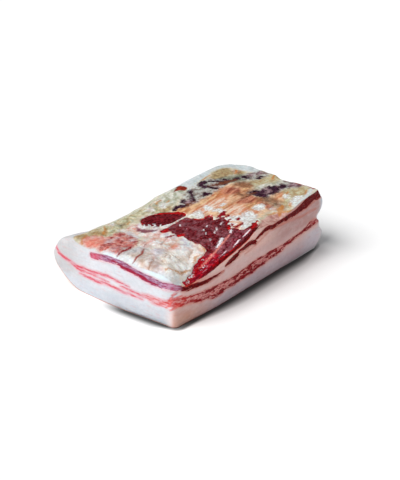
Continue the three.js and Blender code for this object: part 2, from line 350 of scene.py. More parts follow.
def zone_lines(side, half_width):
    """The dark lines along the upper (1) or lower (-1) border of the lower lean."""
    return [
        [(way, z + side * max(half - half_width, 0), min(half_width, half)) for way, z, half in ribbon]
        for ribbon in CUT_MARKS["lower_zone"]
    ]


CUT_MARKS["lower_lines"] = zone_lines(1, 0.9) + zone_lines(-1, 1.3)

# The muscles' outlines in plan. Past the long cut's edge, y counts down its face.
MUSCLES = {
    "skirt_muscle": [
        (62, 70), (70, 70), (80, 70), (90, 71), (96, 71), (99, 68), (100, 62), (101, 57), (104, 53),
        (107, 53), (109, 55.5), (111.5, 54.5), (112, 50), (110.5, 47.5), (108, 46), (106, 44), (108, 41),
        (113, 40), (117, 38), (113, 35), (111, 31), (109, 28), (105, 26), (101, 22), (99, 19.5), (101, 17),
        (103, 13), (103, 8), (106, 5), (112, 4.6), (119, 5.8), (125, 7.6), (130, 8.8), (130.2, 8.2),
        (125, 5.2), (119, 1.8), (112, -2.6), (105.5, -6), (99, -8), (92, -8.2), (79, -6.8), (66, -4.9),
        (52, -3.2), (40, -1.9), (30, -1.7), (20, -2.2), (12.5, -2.4), (11, -0.6), (14, 2.1), (19, 3.6),
        (25, 4.4), (31, 6.8), (36, 9.6), (43, 12.2), (49, 13.4), (57, 14.8), (62, 16.5), (64.5, 20),
        (65, 25), (62.5, 29), (63, 33), (61, 37), (62, 41), (64.5, 45), (62, 47), (60, 50), (63, 53),
        (63, 58), (66, 62), (63, 64), (58, 65), (58, 68),
    ],
    "small_skirt_muscle": [
        (57, 90), (60, 96), (65, 100), (70, 103), (77, 102.5), (84, 100), (89, 95.5), (93, 91), (97, 87),
        (101, 83), (104, 79.5), (103, 75.5), (100, 73), (96, 72.2), (90, 72.2), (83, 73), (77, 74.6),
        (72, 75.4), (68.5, 76.5), (70, 78.5), (65, 78.5), (66.5, 82), (61, 83), (63.5, 87), (58.5, 87),
    ],
}

# Marks on the muscles, as runs of (x, y, half width), and patches on them, as outlines in plan
MUSCLE_MARKS = {
    "seam": [[(92, 13, 0.5), (84, 11.5, 0.9), (75, 10, 1), (62, 8.7, 0.9), (50, 7.6, 0.8), (38, 6.5, 0.3)]],
    # White flecks of fat on the muscles, and small specks that are painted glints
    "white_flecks_and_glints": [
        [(71, 11.5, 0.7), (77, 13, 1.3), (83, 15, 1.7)], [(95, 14, 0.9), (99, 16.5, 1.3)],
        [(92, 40, 0.7), (94, 41.5, 0.6)], [(84.5, 38, 0.5), (87, 39.5, 0.5)],
        [(92, 28, 0.7), (95, 30.5, 0.6)], [(102, 31, 0.5), (107, 33, 0.4)], [(81, 32, 0.3), (83, 34, 0.4)],
        [(86, 26, 0.3), (89, 28, 0.4)], [(75, 22, 0.3), (77, 24, 0.3)], [(43, 5, 0.5), (45, 5, 0.4)],
        [(49.5, 11, 0.4), (51, 11, 0.3)], [(24, 3, 0.7), (28, 4, 0.5)], [(80, 62, 0.3), (82, 65, 0.3)],
        [(66, 82, 0.9), (68, 86, 0.4)], [(62, 85, 0.9), (64, 89, 0.4)], [(69, 78, 0.6), (71, 80, 0.3)],
        [(14, 0.4, 0.5), (18, 1.4, 0.4)], [(21, 3.4, 0.6), (25, 3.9, 0.4)], [(58, 88, 0.9), (60, 92, 0.4)],
    ],
    # Thin pale lines on the flap: painted highlight where its wet face glistens
    "painted_wet_highlight": [
        [(79, -1.2, 0.3), (84, -0.6, 0.7), (88, -0.2, 0.8), (91, -0.4, 0.2)],
        [(95, -0.4, 0.4), (101, -0.2, 0.8), (109, 1, 0.4)], [(60, 1, 0.2), (72, 1.5, 0.4)],
    ],
    "red_line": [
        [(12, 0.8, 0.4), (20, 1.4, 0.8), (30, 4, 0.9), (42, 8.5, 0.8), (52, 12.5, 0.5)],
        [(101, -1.6, 0.4), (108, 0.6, 0.7), (116, 3.2, 0.9), (122, 5.4, 0.9), (128, 7.6, 0.5)],
        [(50, -0.5, 0.4), (62, -1, 0.6), (76, -2.4, 0.6), (88, -3.4, 0.4)],
    ],
    "dark_rim": [
        [(36, -0.6, 0.5), (47, -0.9, 1.2), (58, -1.6, 1.6), (70, -3, 1.9), (82, -4.6, 2.2), (93, -5.4, 2.3),
         (101, -5, 2.2), (108, -2.8, 1.6), (114, -0.4, 0.8)],
    ],
    "bright_ends": [
        [(58, 66, 2), (64, 67, 2), (68, 68, 0.5)], [(61, 50, 2), (66, 49, 2.2), (70, 48, 0.5)],
        [(31, 8.5, 0.8), (37, 11, 1.2), (45, 13, 0.9), (56, 14.5, 0.5)],
        [(129, 7.8, 1.2), (123, 5, 1.5), (116, 2.2, 1.5), (109, -0.8, 1)], [(112, 54, 2), (113, 49, 2)],
        [(84, 101, 1), (92, 93, 1.2), (99, 84, 2), (103, 79, 3), (102, 75, 2)],
        [(100, 60, 1.2), (104, 53, 1)], [(62, 97, 1), (58, 91, 1)], [(103, 22, 1.5), (100, 19, 1.5)],
    ],
}
MUSCLE_PATCHES = {
    "tip": [[(7, -1), (12, 4), (30, 8.5), (45, 13), (60, 13), (68, 4), (56, -2), (30, -2.5), (10, -3.5)]],
    "flap": [
        [(103, 15), (103, 5), (112, 4), (104, -6), (92, -8), (78, -7), (66, -5), (60, 0), (62, 9), (80, 14),
         (92, 16)],
    ],
}

# Patches of the inner side, painted one after another: outlines in plan
PATCHES = {
    "olive": [
        [(3, 130), (19, 130), (34, 129), (55, 126), (80, 126), (100, 127), (112, 122), (108, 112),
         (100, 103), (92, 96), (84, 105), (70, 108), (60, 105), (50, 101), (36, 99), (24, 98), (17, 103),
         (13, 112), (6, 121)],
    ],
    "milky": [
        [(88, 124), (100, 127), (130, 128), (152, 128), (152, 106), (136, 105), (126, 103), (116, 98),
         (106, 103), (97, 106), (92, 114)],
        [(183, 57), (194, 56), (206, 52), (216, 46), (226, 46), (226, 38), (214, 38), (202, 43), (190, 46)],
    ],
    "tan": [
        [(178, 103), (186, 110), (196, 114), (208, 117), (217, 117), (219, 109), (214, 103), (210, 96),
         (198, 95), (188, 96)],
        [(92, 94), (96, 102), (103, 103), (109, 100), (106, 95), (98, 93)],
        [(203, 86), (208, 95), (218, 96), (220, 89), (212, 85)],
        [(-3, 121), (1, 130), (10, 130), (10, 120), (6, 115), (0, 116)],
        [(11, 110), (14, 119), (20, 117), (26, 110), (22, 104), (15, 104)],
        [(-1, 9), (0, 14), (8, 14), (15, 10), (11, 7)],
    ],
    "yellow_fat": [
        [(190, 68), (206, 68), (218, 65), (233, 62), (232, 50), (228, 42), (214, 42), (206, 50), (194, 54),
         (185, 55)],
        [(171, 2), (176, 12), (177, 24), (184, 29), (196, 29), (208, 25), (220, 16), (221, 5), (208, 1),
         (196, 2), (184, 0)],
        [(54, 16), (55, 26), (60, 32), (66, 29), (67, 20), (62, 14)],
    ],
    "moss": [
        [(180, 104), (190, 100), (203, 93), (213, 86), (207, 77), (198, 71), (188, 76), (182, 88)],
        [(87, 99), (92, 98), (98, 91), (94, 88), (89, 92)], [(41, 113), (50, 114), (53, 107), (45, 105)],
    ],
    "peach": [
        [(100, 88), (106, 90), (118, 84), (130, 84), (145, 83), (158, 84), (170, 85), (182, 83), (190, 72),
         (193, 62), (186, 54), (173, 50), (169, 40), (172, 30), (168, 20), (163, 13), (150, 12), (138, 12),
         (122, 12), (106, 4), (100, 14), (100, 24), (108, 32), (116, 40), (112, 52), (106, 60), (101, 66),
         (102, 78)],
        [(174, 28), (186, 29), (197, 27), (192, 19), (182, 12), (174, 14)],
    ],
    "pale_peach": [
        [(116, 71), (132, 72), (146, 71), (156, 66), (150, 57), (138, 54), (126, 55), (112, 58)],
        [(126, 45), (136, 47), (146, 42), (144, 30), (130, 28), (120, 33)],
        [(100, 27), (118, 29), (132, 27), (146, 24), (152, 18), (142, 12), (124, 12), (106, 5), (100, 16)],
    ],
    "orange": [
        [(116, 82), (130, 81), (146, 80), (160, 80), (163, 75), (146, 73), (128, 72), (118, 74)],
        [(148, 37), (160, 39), (166, 34), (164, 26), (152, 25), (143, 28)],
        [(118, 56), (127, 57), (128, 49), (119, 48)],
        [(101, 88), (107, 89), (113, 84), (116, 78), (108, 75), (104, 80)],
        [(136, 17), (146, 18), (147, 13), (136, 12)],
        [(176, 66), (186, 66), (190, 58), (180, 54), (172, 58)],
    ],
    "rose": [
        [(148, 49), (160, 50), (169, 50), (171, 42), (168, 35), (156, 35), (146, 41)],
        [(158, 76), (172, 77), (180, 68), (172, 59), (160, 62)],
        [(162, 93), (170, 95), (174, 87), (167, 82)],
        [(159, 32), (165, 32), (168, 18), (164, 5), (159, 12)],
        [(212, 100), (217, 100), (216, 94), (209, 93)],
    ],
    "brown_shade": [
        [(164, 36), (172, 38), (181, 30), (177, 14), (172, 2), (165, 2), (168, 16)],
        [(180, 78), (190, 79), (197, 70), (195, 60), (188, 56), (181, 64)],
        [(163, 62), (170, 60), (171, 50), (161, 49)],
        [(168, 54), (181, 57), (187, 50), (182, 44), (171, 45)],
    ],
    "lavender": [
        [(124, 98), (136, 106), (152, 106), (160, 110), (172, 110), (184, 106), (188, 92), (182, 81),
         (160, 81), (140, 81), (118, 82), (112, 90)],
        [(198, 79), (214, 86), (222, 83), (231, 78), (233, 64), (222, 61), (210, 63), (202, 71)],
        [(172, 52), (182, 50), (192, 47), (203, 43), (213, 38), (226, 39), (228, 26), (222, 16), (213, 19),
         (205, 25), (196, 27), (182, 27), (174, 29)],
    ],
    "mauve": [
        [(212, 83), (222, 83), (223, 77), (213, 76)], [(221, 78), (231, 78), (232, 69), (223, 69)],
        [(210, 30), (222, 31), (226, 18), (213, 17)], [(118, 93), (130, 94), (132, 85), (122, 83)],
        [(178, 46), (196, 46), (208, 38), (204, 28), (184, 27), (174, 36)],
    ],
    "purple": [
        [(102, 91), (105, 94), (111, 95), (115, 92), (119, 89), (122, 87), (120, 83), (113, 83), (109, 87),
         (104, 88)],
        [(118, 94), (122, 97), (127, 98), (128, 94), (123, 92)],
        [(126, 84), (131, 85), (135, 90), (141, 95), (147, 100), (149, 105), (143, 106), (138, 103),
         (139, 99), (133, 93), (128, 89)],
        [(141, 86), (146, 90), (151, 91), (154, 86), (152, 82), (146, 82)],
        [(156, 96), (159, 102), (163, 108), (171, 109), (176, 105), (172, 101), (166, 101), (163, 98),
         (167, 94), (165, 90), (166, 85), (162, 83), (160, 88), (161, 93), (158, 95)],
        [(173, 104), (178, 103), (181, 98), (184, 92), (184, 86), (178, 82), (175, 86), (178, 91),
         (176, 97)],
        [(185, 95), (190, 96), (193, 88), (187, 85)], [(193, 89), (203, 87), (201, 80), (192, 81)],
        [(203, 85), (212, 82), (211, 74), (203, 75)], [(209, 69), (221, 70), (222, 64), (210, 63)],
        [(173, 50), (184, 52), (184, 43), (180, 30), (174, 28), (171, 38)],
        [(182, 45), (191, 46), (189, 38), (181, 35)],
        [(195, 45), (204, 43), (205, 34), (197, 28), (182, 28), (184, 32), (194, 35)],
        [(203, 35), (212, 38), (215, 31), (208, 26), (202, 29)],
    ],
    "white_fat": [
        [(-8, 66), (10, 66), (24, 66), (34, 68), (40, 74), (36, 82), (36, 94), (44, 98), (54, 95), (62, 97),
         (66, 88), (72, 78), (98, 76), (98, 68), (64, 66), (66, 58), (66, 50), (66, 42), (66, 34), (66, 28),
         (62, 16), (48, 12), (38, 10), (26, 5), (10, 3), (0, 4), (-8, 10), (-8, 40)],
    ],
    "cool_fat": [
        [(-2, 65), (12, 66), (24, 64), (16, 56), (2, 53)],
        [(18, 9), (24, 19), (36, 20), (45, 16), (38, 10), (28, 6)],
        [(51, 40), (58, 47), (63, 40), (63, 28), (56, 27), (51, 34)],
        [(54, 63), (62, 63), (62, 50), (55, 47)],
        [(54, 93), (62, 96), (66, 86), (72, 79), (74, 75), (62, 77), (55, 81), (53, 88)],
        [(62, 73), (74, 75), (90, 74), (99, 73), (88, 70), (70, 70)],
    ],
    "grey_fat": [
        [(-9, 23), (-2, 25), (2, 16), (-4, 11), (-9, 13)], [(-3, 29), (6, 31), (10, 24), (6, 17), (-1, 20)],
        [(35, 31), (44, 33), (51, 30), (48, 23), (37, 24)],
        [(13, 47), (26, 49), (35, 42), (28, 33), (17, 35)],
        [(26, 92), (36, 95), (41, 90), (39, 77), (31, 73), (28, 80)],
    ],
    "dent": [
        [(-6, 20), (-1, 17), (7, 24), (11, 34), (4, 38), (-4, 30)],
        [(34, 30), (42, 33), (48, 29), (44, 24), (37, 25)],
    ],
    "pink_smears": [
        [(37, 96), (46, 98), (55, 101), (54, 97), (44, 94)],
        [(43, 90), (51, 95), (57, 98), (55, 92), (46, 86)],
        [(36, 37), (41, 43), (50, 46), (50, 41), (45, 35), (36, 32)],
        [(24, 62), (40, 67), (57, 71), (60, 66), (44, 61), (28, 58)],
        [(43, 50), (56, 57), (60, 55), (50, 49)],
    ],
    "pink_patch": [
        [(-4, 115), (6, 117), (12, 114), (16, 106), (19, 98), (33, 99), (36, 92), (31, 84), (34, 80),
         (30, 71), (20, 66), (8, 66), (-3, 66), (-5, 80), (-4, 92), (-6, 102)],
    ],
    "fresh_pink": [
        [(-5, 104), (2, 113), (9, 112), (13, 99), (6, 90), (-3, 92)],
        [(37, 35), (43, 43), (47, 41), (45, 36), (39, 31)],
    ],
    "pale_gaps": [
        [(8, 93), (14, 95), (17, 90), (11, 85), (7, 88)], [(1, 78), (6, 80), (10, 76), (6, 72), (1, 74)],
        [(18, 92), (24, 92), (26, 88), (20, 87)], [(24, 79), (30, 79), (30, 73), (24, 73)],
    ],
    "red_blots": [
        [(1, 72), (4, 78), (10, 76), (12, 69), (6, 66)], [(-1, 90), (3, 90), (4, 83), (0, 81)],
        [(4, 88), (10, 89), (13, 84), (8, 81), (3, 84)],
        [(23, 92), (28, 97), (34, 99), (35, 93), (29, 89), (23, 89)],
        [(15, 95), (20, 99), (23, 95), (19, 91)], [(-2, 73), (6, 75), (9, 70), (6, 65), (-2, 66)],
        [(10, 73), (18, 76), (23, 71), (18, 65), (10, 66)],
        [(12, 80), (16, 87), (23, 89), (23, 82), (17, 76)], [(21, 72), (30, 73), (31, 69), (22, 67)],
        [(23, 83), (35, 86), (35, 82), (24, 79)], [(2, 81), (8, 81), (14, 78), (13, 73), (5, 75)],
    ],
    "clean_fat": [
        [(3, 8), (2, 15), (6, 24), (13, 32), (24, 37), (40, 35), (51, 28), (53, 18), (49, 11), (38, 8),
         (26, 5), (15, 2), (3, 2)],
    ],
    "fold_shade": [[(7, 73), (16, 68), (23, 58), (22, 48), (12, 38), (-3, 32), (-2.5, 44), (-3, 58)]],
    "white_patches": [
        [(100, 70), (103, 72), (110, 69.5), (117, 69), (117, 65), (115, 63), (113, 60), (111, 57),
         (107, 55), (103, 56)],
        [(119, 62), (125, 70), (131, 67), (125, 56)], [(99, 24), (108, 27), (111, 21), (104, 18)],
        [(110, 33), (118, 38), (122, 34), (128, 28), (136, 28), (143, 24), (140, 15), (130, 9), (113, 4),
         (105, 6), (104, 11), (115, 15), (118, 21), (112, 27)],
        [(148, 27), (156, 29), (163, 24), (156, 17), (148, 21)],
        [(160, 15), (163, 17), (165, 12), (162, 10)],
        [(119, 46), (121, 57), (127, 57), (130, 50), (127, 44), (121, 43)],
        [(133, 57), (141, 59), (143, 53), (134, 52)], [(37, 118), (42, 122), (46, 116), (40, 113)],
        [(33, 102), (38, 104), (43, 99), (37, 96)],
        [(178, 4), (188, 9), (197, 9), (202, 3), (190, -3), (178, -1)],
        [(184, 16), (193, 19), (197, 14), (187, 11)],
        [(99, 106), (104, 110), (110, 109), (108, 104), (103, 102)],
        [(84, 108), (88, 115), (95, 116), (96, 110), (90, 106)],
        [(143, 108), (152, 109), (164, 111), (158, 105), (146, 104)],
        [(146, 118), (150, 122), (156, 118), (150, 110), (146, 110)],
        [(53, 82), (53, 89), (58, 95), (61, 90), (62, 84), (72, 80), (60, 77)],
    ],
    "white_rim": [
        [(148, 107), (160, 111), (175, 112), (186, 114), (200, 118), (216, 120), (222, 112), (220, 100),
         (222, 88), (226, 80), (234, 76), (250, 90), (250, 112), (230, 134), (190, 136), (148, 136)],
        [(178, -2), (190, -1), (201, 1), (212, 3), (222, 5), (222, 1), (205, -4), (185, -6), (176, -5)],
        [(-4, 114), (-3, 97), (-4, 83), (-2, 74), (-16, 74), (-16, 114)],
    ],
    "bright_rim": [
        [(-3, 84), (-1, 76), (0, 66), (-1, 50), (-4, 36), (-5, 23), (-1, 12), (6, 8), (10, 4), (3, -2),
         (-16, 0), (-16, 84)],
    ],
    "rim_fat": [
        [(108, -6), (116, -1), (124, 3), (134, 6), (142, 8), (151, 8), (158, 5), (164, 0), (170, -4),
         (170, -14), (108, -14)],
    ],
    "nick": [
        [(131, 114), (138, 118), (144, 123), (149, 123), (149, 116), (146, 110), (143, 108), (139, 112)],
    ],
}
# Their looks: dark and light paint, size of the mottling, raggedness and softness of the edge, strength
PATCH_LOOKS = {
    "olive": ((160, 158, 124), (204, 204, 178), 5, 2.4, 3, 1),
    "milky": ((162, 162, 140), (212, 212, 202), 6, 2.4, 3, 1),
    "tan": ((140, 113, 79), (178, 158, 116), 4, 2.4, 3, 0.95),
    "yellow_fat": ((172, 146, 108), (188, 184, 152), 5, 2.4, 3, 1),
    "moss": ((82, 80, 70), (134, 140, 122), 4, 2.6, 3.5, 0.85),
    "peach": ((184, 114, 76), (222, 186, 152), 7, 2.6, 3.5, 1),
    "pale_peach": ((202, 130, 98), (224, 202, 184), 3.5, 2.6, 4, 0.9),
    "orange": ((166, 96, 56), (226, 186, 136), 3.5, 2.8, 4, 0.6),
    "rose": ((118, 40, 32), (206, 138, 112), 4, 2.6, 3.5, 0.85),
    "brown_shade": ((92, 54, 36), (150, 106, 78), 4, 2.6, 4, 0.85),
    "lavender": ((98, 70, 74), (188, 194, 190), 4, 3, 4, 0.8),
    "mauve": ((84, 44, 58), (146, 106, 118), 4, 3, 3.5, 0.8),
    "purple": ((28, 0, 12), (72, 38, 58), 3, 2.8, 1.8, 1),
    "white_fat": ((217, 186, 180), (232, 242, 242), 6, 2, 2.5, 1),
    "cool_fat": ((178, 176, 196), (220, 240, 242), 4, 2.6, 3, 0.9),
    "grey_fat": ((182, 176, 190), (206, 214, 228), 4, 2.8, 3, 0.7),
    "dent": ((142, 112, 106), (196, 184, 186), 5, 2.4, 3.5, 0.6),
    "pink_smears": ((204, 116, 106), (220, 188, 188), 2.5, 2.8, 3, 0.75),
    "pink_patch": ((196, 112, 98), (212, 172, 164), 4.5, 2.4, 2.6, 1),
    "fresh_pink": ((206, 104, 88), (220, 150, 130), 4, 2.4, 3, 0.75),
    "pale_gaps": ((176, 154, 160), (206, 216, 222), 3, 2.8, 3, 0.75),
    "red_blots": ((126, 12, 22), (196, 104, 100), 3, 3.2, 2.8, 0.8),
    "clean_fat": ((234, 228, 220), (246, 250, 250), 4, 3, 4, 0.95),
    "fold_shade": ((162, 152, 148), (202, 196, 194), 5, 3, 4, 0.75),
    "white_patches": ((196, 186, 182), (226, 234, 234), 2.5, 3.6, 2.2, 0.95),
    "white_rim": ((186, 194, 194), (210, 216, 218), 7, 1.6, 2.5, 1),
    "bright_rim": ((204, 214, 220), (222, 234, 242), 6, 1.6, 2.5, 1),
    "rim_fat": ((178, 124, 116), (198, 160, 150), 5, 1.6, 2, 1),
    "nick": ((96, 20, 14), (158, 54, 34), 3, 1.4, 1.2, 1),
}
# The same side's lines and spots, as runs of (x, y, half width)
LINES = {
    "creases": [
        [(132, 49, 0.5), (150, 50.5, 0.8), (165, 49, 0.9), (178, 47, 0.9)],
        [(-6, 24, 0.5), (-3, 30, 0.8), (2, 31.5, 0.7), (7, 32, 0.9), (9, 35, 0.4)],
        [(16, 34, 0.4), (20, 31.5, 0.7), (25, 32, 0.6), (28, 36, 0.3)],
        [(22, 26, 0.3), (26, 29, 0.5), (28, 33, 0.3)], [(35, 48, 0.3), (48, 54, 0.6), (54, 55, 0.3)],
        [(10, 22, 0.3), (14, 30, 0.5)], [(40, 18, 0.3), (46, 24, 0.5), (54, 26, 0.3)],
        [(150, 61, 0.4), (166, 57, 0.8), (171, 52, 0.6)], [(144, 31, 0.3), (158, 30, 0.7), (166, 31, 0.9)],
        [(30, 19, 0.3), (31, 25, 0.5), (29, 30, 0.3)], [(190, 30, 0.4), (186, 24, 0.5), (180, 18, 0.3)],
    ],
    "ochre": [
        [(157, 1, 1.2), (164, 5, 3.4), (172, 7, 2)],
        [(2, 14, 0.6), (9, 11, 1), (14, 7.5, 0.9), (19, 7, 0.5)],
        [(40, 13, 0.8), (46, 16, 1.3), (54, 16.5, 0.9)], [(14, 8, 1), (21, 9, 1.6), (28, 8, 1)],
        [(63, 28, 0.9), (63.5, 23, 1.5), (61, 17, 1)],
        [(-3, 112, 0.6), (1, 116, 1), (8, 117, 1), (11, 114, 0.4)],
        [(35, 122, 0.6), (32, 116, 0.9), (27, 110, 1.1), (20, 108, 0.9)], [(52, 105, 1), (58, 107, 0.8)],
        [(216, 51, 1.2), (226, 55, 1.2)], [(209, 95, 1.3), (216, 98, 1.3)],
        [(194, 17, 1.1), (199, 20, 1.1)], [(103, 113, 1), (111, 116, 0.9)],
        [(112, 107, 1), (116, 109, 0.7)], [(132, 51, 0.9), (143, 52, 0.9)],
        [(150, 9, 0.9), (158, 6, 1.1), (164, 1, 1.4), (172, -4, 1.3), (180, -6.5, 0.9)],
        [(176, 1, 1.2), (181, 4, 1.1)], [(173, 111, 0.9), (188, 112, 0.9)], [(204, 2, 1), (214, 6, 1)],
    ],
    "red_lines": [
        [(-3, 47.5, 0.8), (3, 48, 1.4), (10, 50, 1.2), (18, 54, 0.7)], [(22, 57, 0.4), (30, 61, 0.7)],
        [(31, 123, 1.2), (43, 122, 1)],
        [(222, 40, 0.9), (223.5, 29, 1.3), (223.5, 20, 1.6), (223, 10, 2), (221.5, 1, 2.6)],
    ],
    "seam_fat": [[(66, 75.5, 1), (74, 74.3, 1.5), (83, 72.9, 1.4), (92, 72.2, 1), (99, 71.6, 0.7)]],
    "red_teeth": [
        [(113, 42, 2.8), (119, 42, 3.4), (125, 45, 1.6)], [(116, 38, 1.6), (121, 36, 1.4)],
        [(108, 52, 2), (112, 52, 2.6)], [(118, 24, 1), (121, 25, 2), (125, 27, 0.8)],
        [(101, 15, 1.8), (106, 16, 2.4), (111, 15, 1.6), (116, 17, 0.8)], [(111, 29, 1), (116, 30, 1.4)],
        [(103, 21, 0.8), (108, 22, 1)], [(53, 56, 0.8), (58, 55, 1.6), (62, 54, 0.8)],
        [(-3, 67, 0.8), (7, 66.5, 1.2), (16, 68, 1.2)],
    ],
    "brown": [
        [(165, 95, 0.8), (170, 92, 2.6), (177, 90, 3.6), (185, 88, 3.6), (192, 83, 3)],
        [(159, 49, 0.8), (168, 47.5, 2), (178, 46, 1.4)], [(116, 84, 0.6), (121, 86, 2), (128, 85, 1)],
    ],
    "plum": [
        [(51, 90, 1), (49, 86, 3), (50, 81, 3.4), (54, 76.5, 3.2), (59, 74, 1.2)],
        [(61, 79, 0.4), (66, 79, 0.8)],
    ],
    "black_bits": [
        [(142, 102, 0.6), (145, 105, 1.1), (148, 105, 0.6)],
        [(176, 103, 0.8), (181, 97, 1), (183, 90, 0.7)],
    ],
}
# Their looks: paint, raggedness and softness of the edge, strength
LINE_LOOKS = {
    "creases": ((146, 98, 68), 1, 1, 0.6),
    "ochre": ((188, 120, 54), 1, 1.1, 0.75),
    "red_lines": ((140, 36, 26), 0.9, 0.8, 0.85),
    "seam_fat": ((204, 208, 190), 0.8, 0.8, 0.9),
    "red_teeth": ((130, 4, 24), 1.5, 0.9, 1),
    "brown": ((104, 56, 38), 2, 2.2, 1),
    "plum": ((116, 38, 62), 1.3, 1.8, 0.9),
    "black_bits": ((34, 14, 24), 1.4, 0.9, 0.95),
}


def distances(u, v, ribbons, outlines):
    """Distances to named ribbons and outlines, by name."""
    near = {name: ribbon_distance(u, v, runs) for name, runs in ribbons.items()}
    return near | {name: outline_distance(u, v, shapes) for name, shapes in outlines.items()}


def muscle_distance(x, y):
    """Distance to the ragged edge of the muscles, negative inside. A knife left the edge on the long cut."""
    ragged = uneven(x, y, (1.1, 5.5, 11), (0.8, 2.4, 12))
    return outline_distance(x, y, MUSCLES.values()) + 0.8 * ragged * lerp(0.2, 1, smoothstep(y, -3, 2))


# ---------------------------------------------------------------- Meshes

CELLS_LONG = 72
CELLS_ACROSS = 48
FINE_CUTS = 3  # each cell of a face that shows is cut into four by four
NEAR_NOTHING = 1e-5


def pick(piece, kind, wanted):
    """Selects the VERT, EDGE or FACE elements of a piece in edit mode for which wanted is true."""
    mesh = bmesh.from_edit_mesh(piece.data)
    bpy.ops.mesh.select_mode(type=kind)
    bpy.ops.mesh.select_all(action="DESELECT")
    elements = {"VERT": mesh.verts, "EDGE": mesh.edges, "FACE": mesh.faces}[kind]
    for element in elements:
        element.select_set(bool(wanted(element)))
    bmesh.update_edit_mesh(piece.data)


def points_of(piece):
    flat = np.empty(len(piece.data.vertices) * 3)
    piece.data.vertices.foreach_get("co", flat)
    return flat.reshape(-1, 3)


def set_points(piece, x, y, z):
    """Puts a piece's points, in millimetres from the near corner, into the frame."""
    moved = np.column_stack([x - MIDDLE[0], y - MIDDLE[1], z]) * MILLIMETRE
    piece.data.vertices.foreach_set("co", moved.ravel())
    piece.data.update()


def set_values(piece, **values):
    """Stores a value at each point of a piece, for its materials to read."""
    for name, value in values.items():
        layer = piece.data.attributes.new(name, "FLOAT", "POINT")
        layer.data.foreach_set("value", np.asarray(value, np.float32))


def soften(piece, name, weights, times):
    """Smooths a piece where the weights are above 0."""
    group = piece.vertex_groups.new(name=name)
    for index in np.flatnonzero(weights > 0.01):
        group.add([int(index)], float(weights[index]), "REPLACE")
    smooth = piece.modifiers.new(name, "SMOOTH")
    smooth.vertex_group = name
    smooth.factor = 0.5
    smooth.iterations = times
    bpy.context.view_layer.objects.active = piece
    bpy.ops.object.modifier_apply(modifier=name)
    piece.vertex_groups.clear()


def new_grid(name, cells_x, cells_y):
    bpy.ops.object.select_all(action="DESELECT")
    bpy.ops.mesh.primitive_grid_add(
        x_subdivisions=cells_x, y_subdivisions=cells_y, size=1, location=(0.5, 0.5, 0)
    )
    piece = bpy.context.object
    piece.name = piece.data.name = name
    bpy.ops.object.transform_apply(location=True, rotation=False, scale=False)
    return piece


def unit_block(name, rows, fine_roof=False):
    """A closed block one unit each way, with fine walls, and a fine roof where asked."""
    piece = new_grid(name, CELLS_LONG, CELLS_ACROSS)
    bpy.ops.object.mode_set(mode="EDIT")
    bpy.ops.mesh.select_all(action="SELECT")
    bpy.ops.mesh.extrude_region_move(TRANSFORM_OT_translate={"value": (0, 0, 1)})
    if rows > 1:
        pick(piece, "EDGE", lambda edge: abs(edge.verts[0].co.z - edge.verts[1].co.z) > 0.5)
        bpy.ops.mesh.subdivide(number_cuts=rows - 1)

    def on_wall(face):
        return NEAR_NOTHING < face.calc_center_median().z < 1 - NEAR_NOTHING

    pick(piece, "FACE", lambda face: on_wall(face) or (fine_roof and face.calc_center_median().z > 0.5))
    bpy.ops.mesh.subdivide(number_cuts=FINE_CUTS)
    bpy.ops.mesh.select_all(action="SELECT")
    bpy.ops.mesh.normals_make_consistent(inside=False)

    def sharp(edge):
        low = max(vert.co.z for vert in edge.verts) < NEAR_NOTHING
        return len({on_wall(face) for face in edge.link_faces}) > 1 and (low or not fine_roof)

    pick(piece, "EDGE", sharp)
    bpy.ops.mesh.mark_sharp()
    bpy.ops.object.mode_set(mode="OBJECT")
    bpy.ops.object.shade_smooth()
    return piece


# ---------------------------------------------------------------- The layers

RELIEF_DEPTH = 4  # how far under a wall its relief dies out, in millimetres
CORNER_BLEND = 5  # how near a second wall turns the way out, in millimetres
LEAST_REACH = 0.2  # keeps the way out short far inside the slab


def way_round(along, across, depth):
    """Distances to the near, long cut, far and back walls, and the way along the walls."""
    width = lerp(SKIN_WIDTH, inner_width(along), depth)
    x = along * LENGTH
    y = across * width
    walls = np.array([x, y, LENGTH - x, width - y])
    ways = np.array([-y, x, LENGTH + y, -width - x])
    return walls, np.take_along_axis(ways, walls.argmin(0)[None], 0)[0]


def wall_relief(x, y, z, marks):
    """How far a cut face stands out: soft bulges and knife marks in the fat, lean drawn in a little."""
    upper, thin, lower, pink = (
        -marks[name] for name in ("upper_band", "thin_streaks", "lower_zone", "pink_streaks")
    )
    bulges = uneven(x, y, (0.55, 19, 3), (0.25, 7, 4), z=z) + uneven(x, y, (0.1, 3, 5), z=2 * z)
    lean = 0.7 * smoothstep(upper, -0.8, 0.8) + 0.6 * smoothstep(thin, -0.6, 0.6)
    streaked = 0.5 * smoothstep(lower, -1, 2) + 0.15 * smoothstep(pink, -0.5, 0.5)
    torn = smoothstep(lower, -1, 1) + smoothstep(upper, -1, 1)
    return bulges - lean - streaked + uneven(x, y, (0.3, 2.2, 6), z=2 * z) * torn


def inner_side_relief(x, y, muscle, white, olive):
    """How far the inner side rises over the slab's form, and how deep its creases are."""
    bent_x = x + uneven(x, y, (5, 14, 13))
    bent_y = y + uneven(x, y, (5, 14, 14))
    large = lobules(bent_x, 1.2 * bent_y, 19, 15)
    small = lobules(bent_x, bent_y, 8, 16)
    rolling = uneven(x, y, (0.8, 24, 17), (0.35, 9, 18))
    wrinkles = uneven(0.3 * x, y, (0.22, 3.2, 19)) + uneven(x, y, (0.12, 2.6, 20))
    lip = 0.9 * np.exp(-((muscle / 3) ** 2)) * white * smoothstep(abs(y - 73), 3, 8)
    fat = rolling + wrinkles + white * (0.9 * large - 0.3) + olive * (0.9 * small - 0.3) + lip
    inlaid = smoothstep(muscle, -0.7, 1.1)
    crease = (0.8 * white * (1 - large) + 0.8 * olive * (1 - small)) * inlaid
    return lerp(-0.3, 1.2 + fat, inlaid), crease


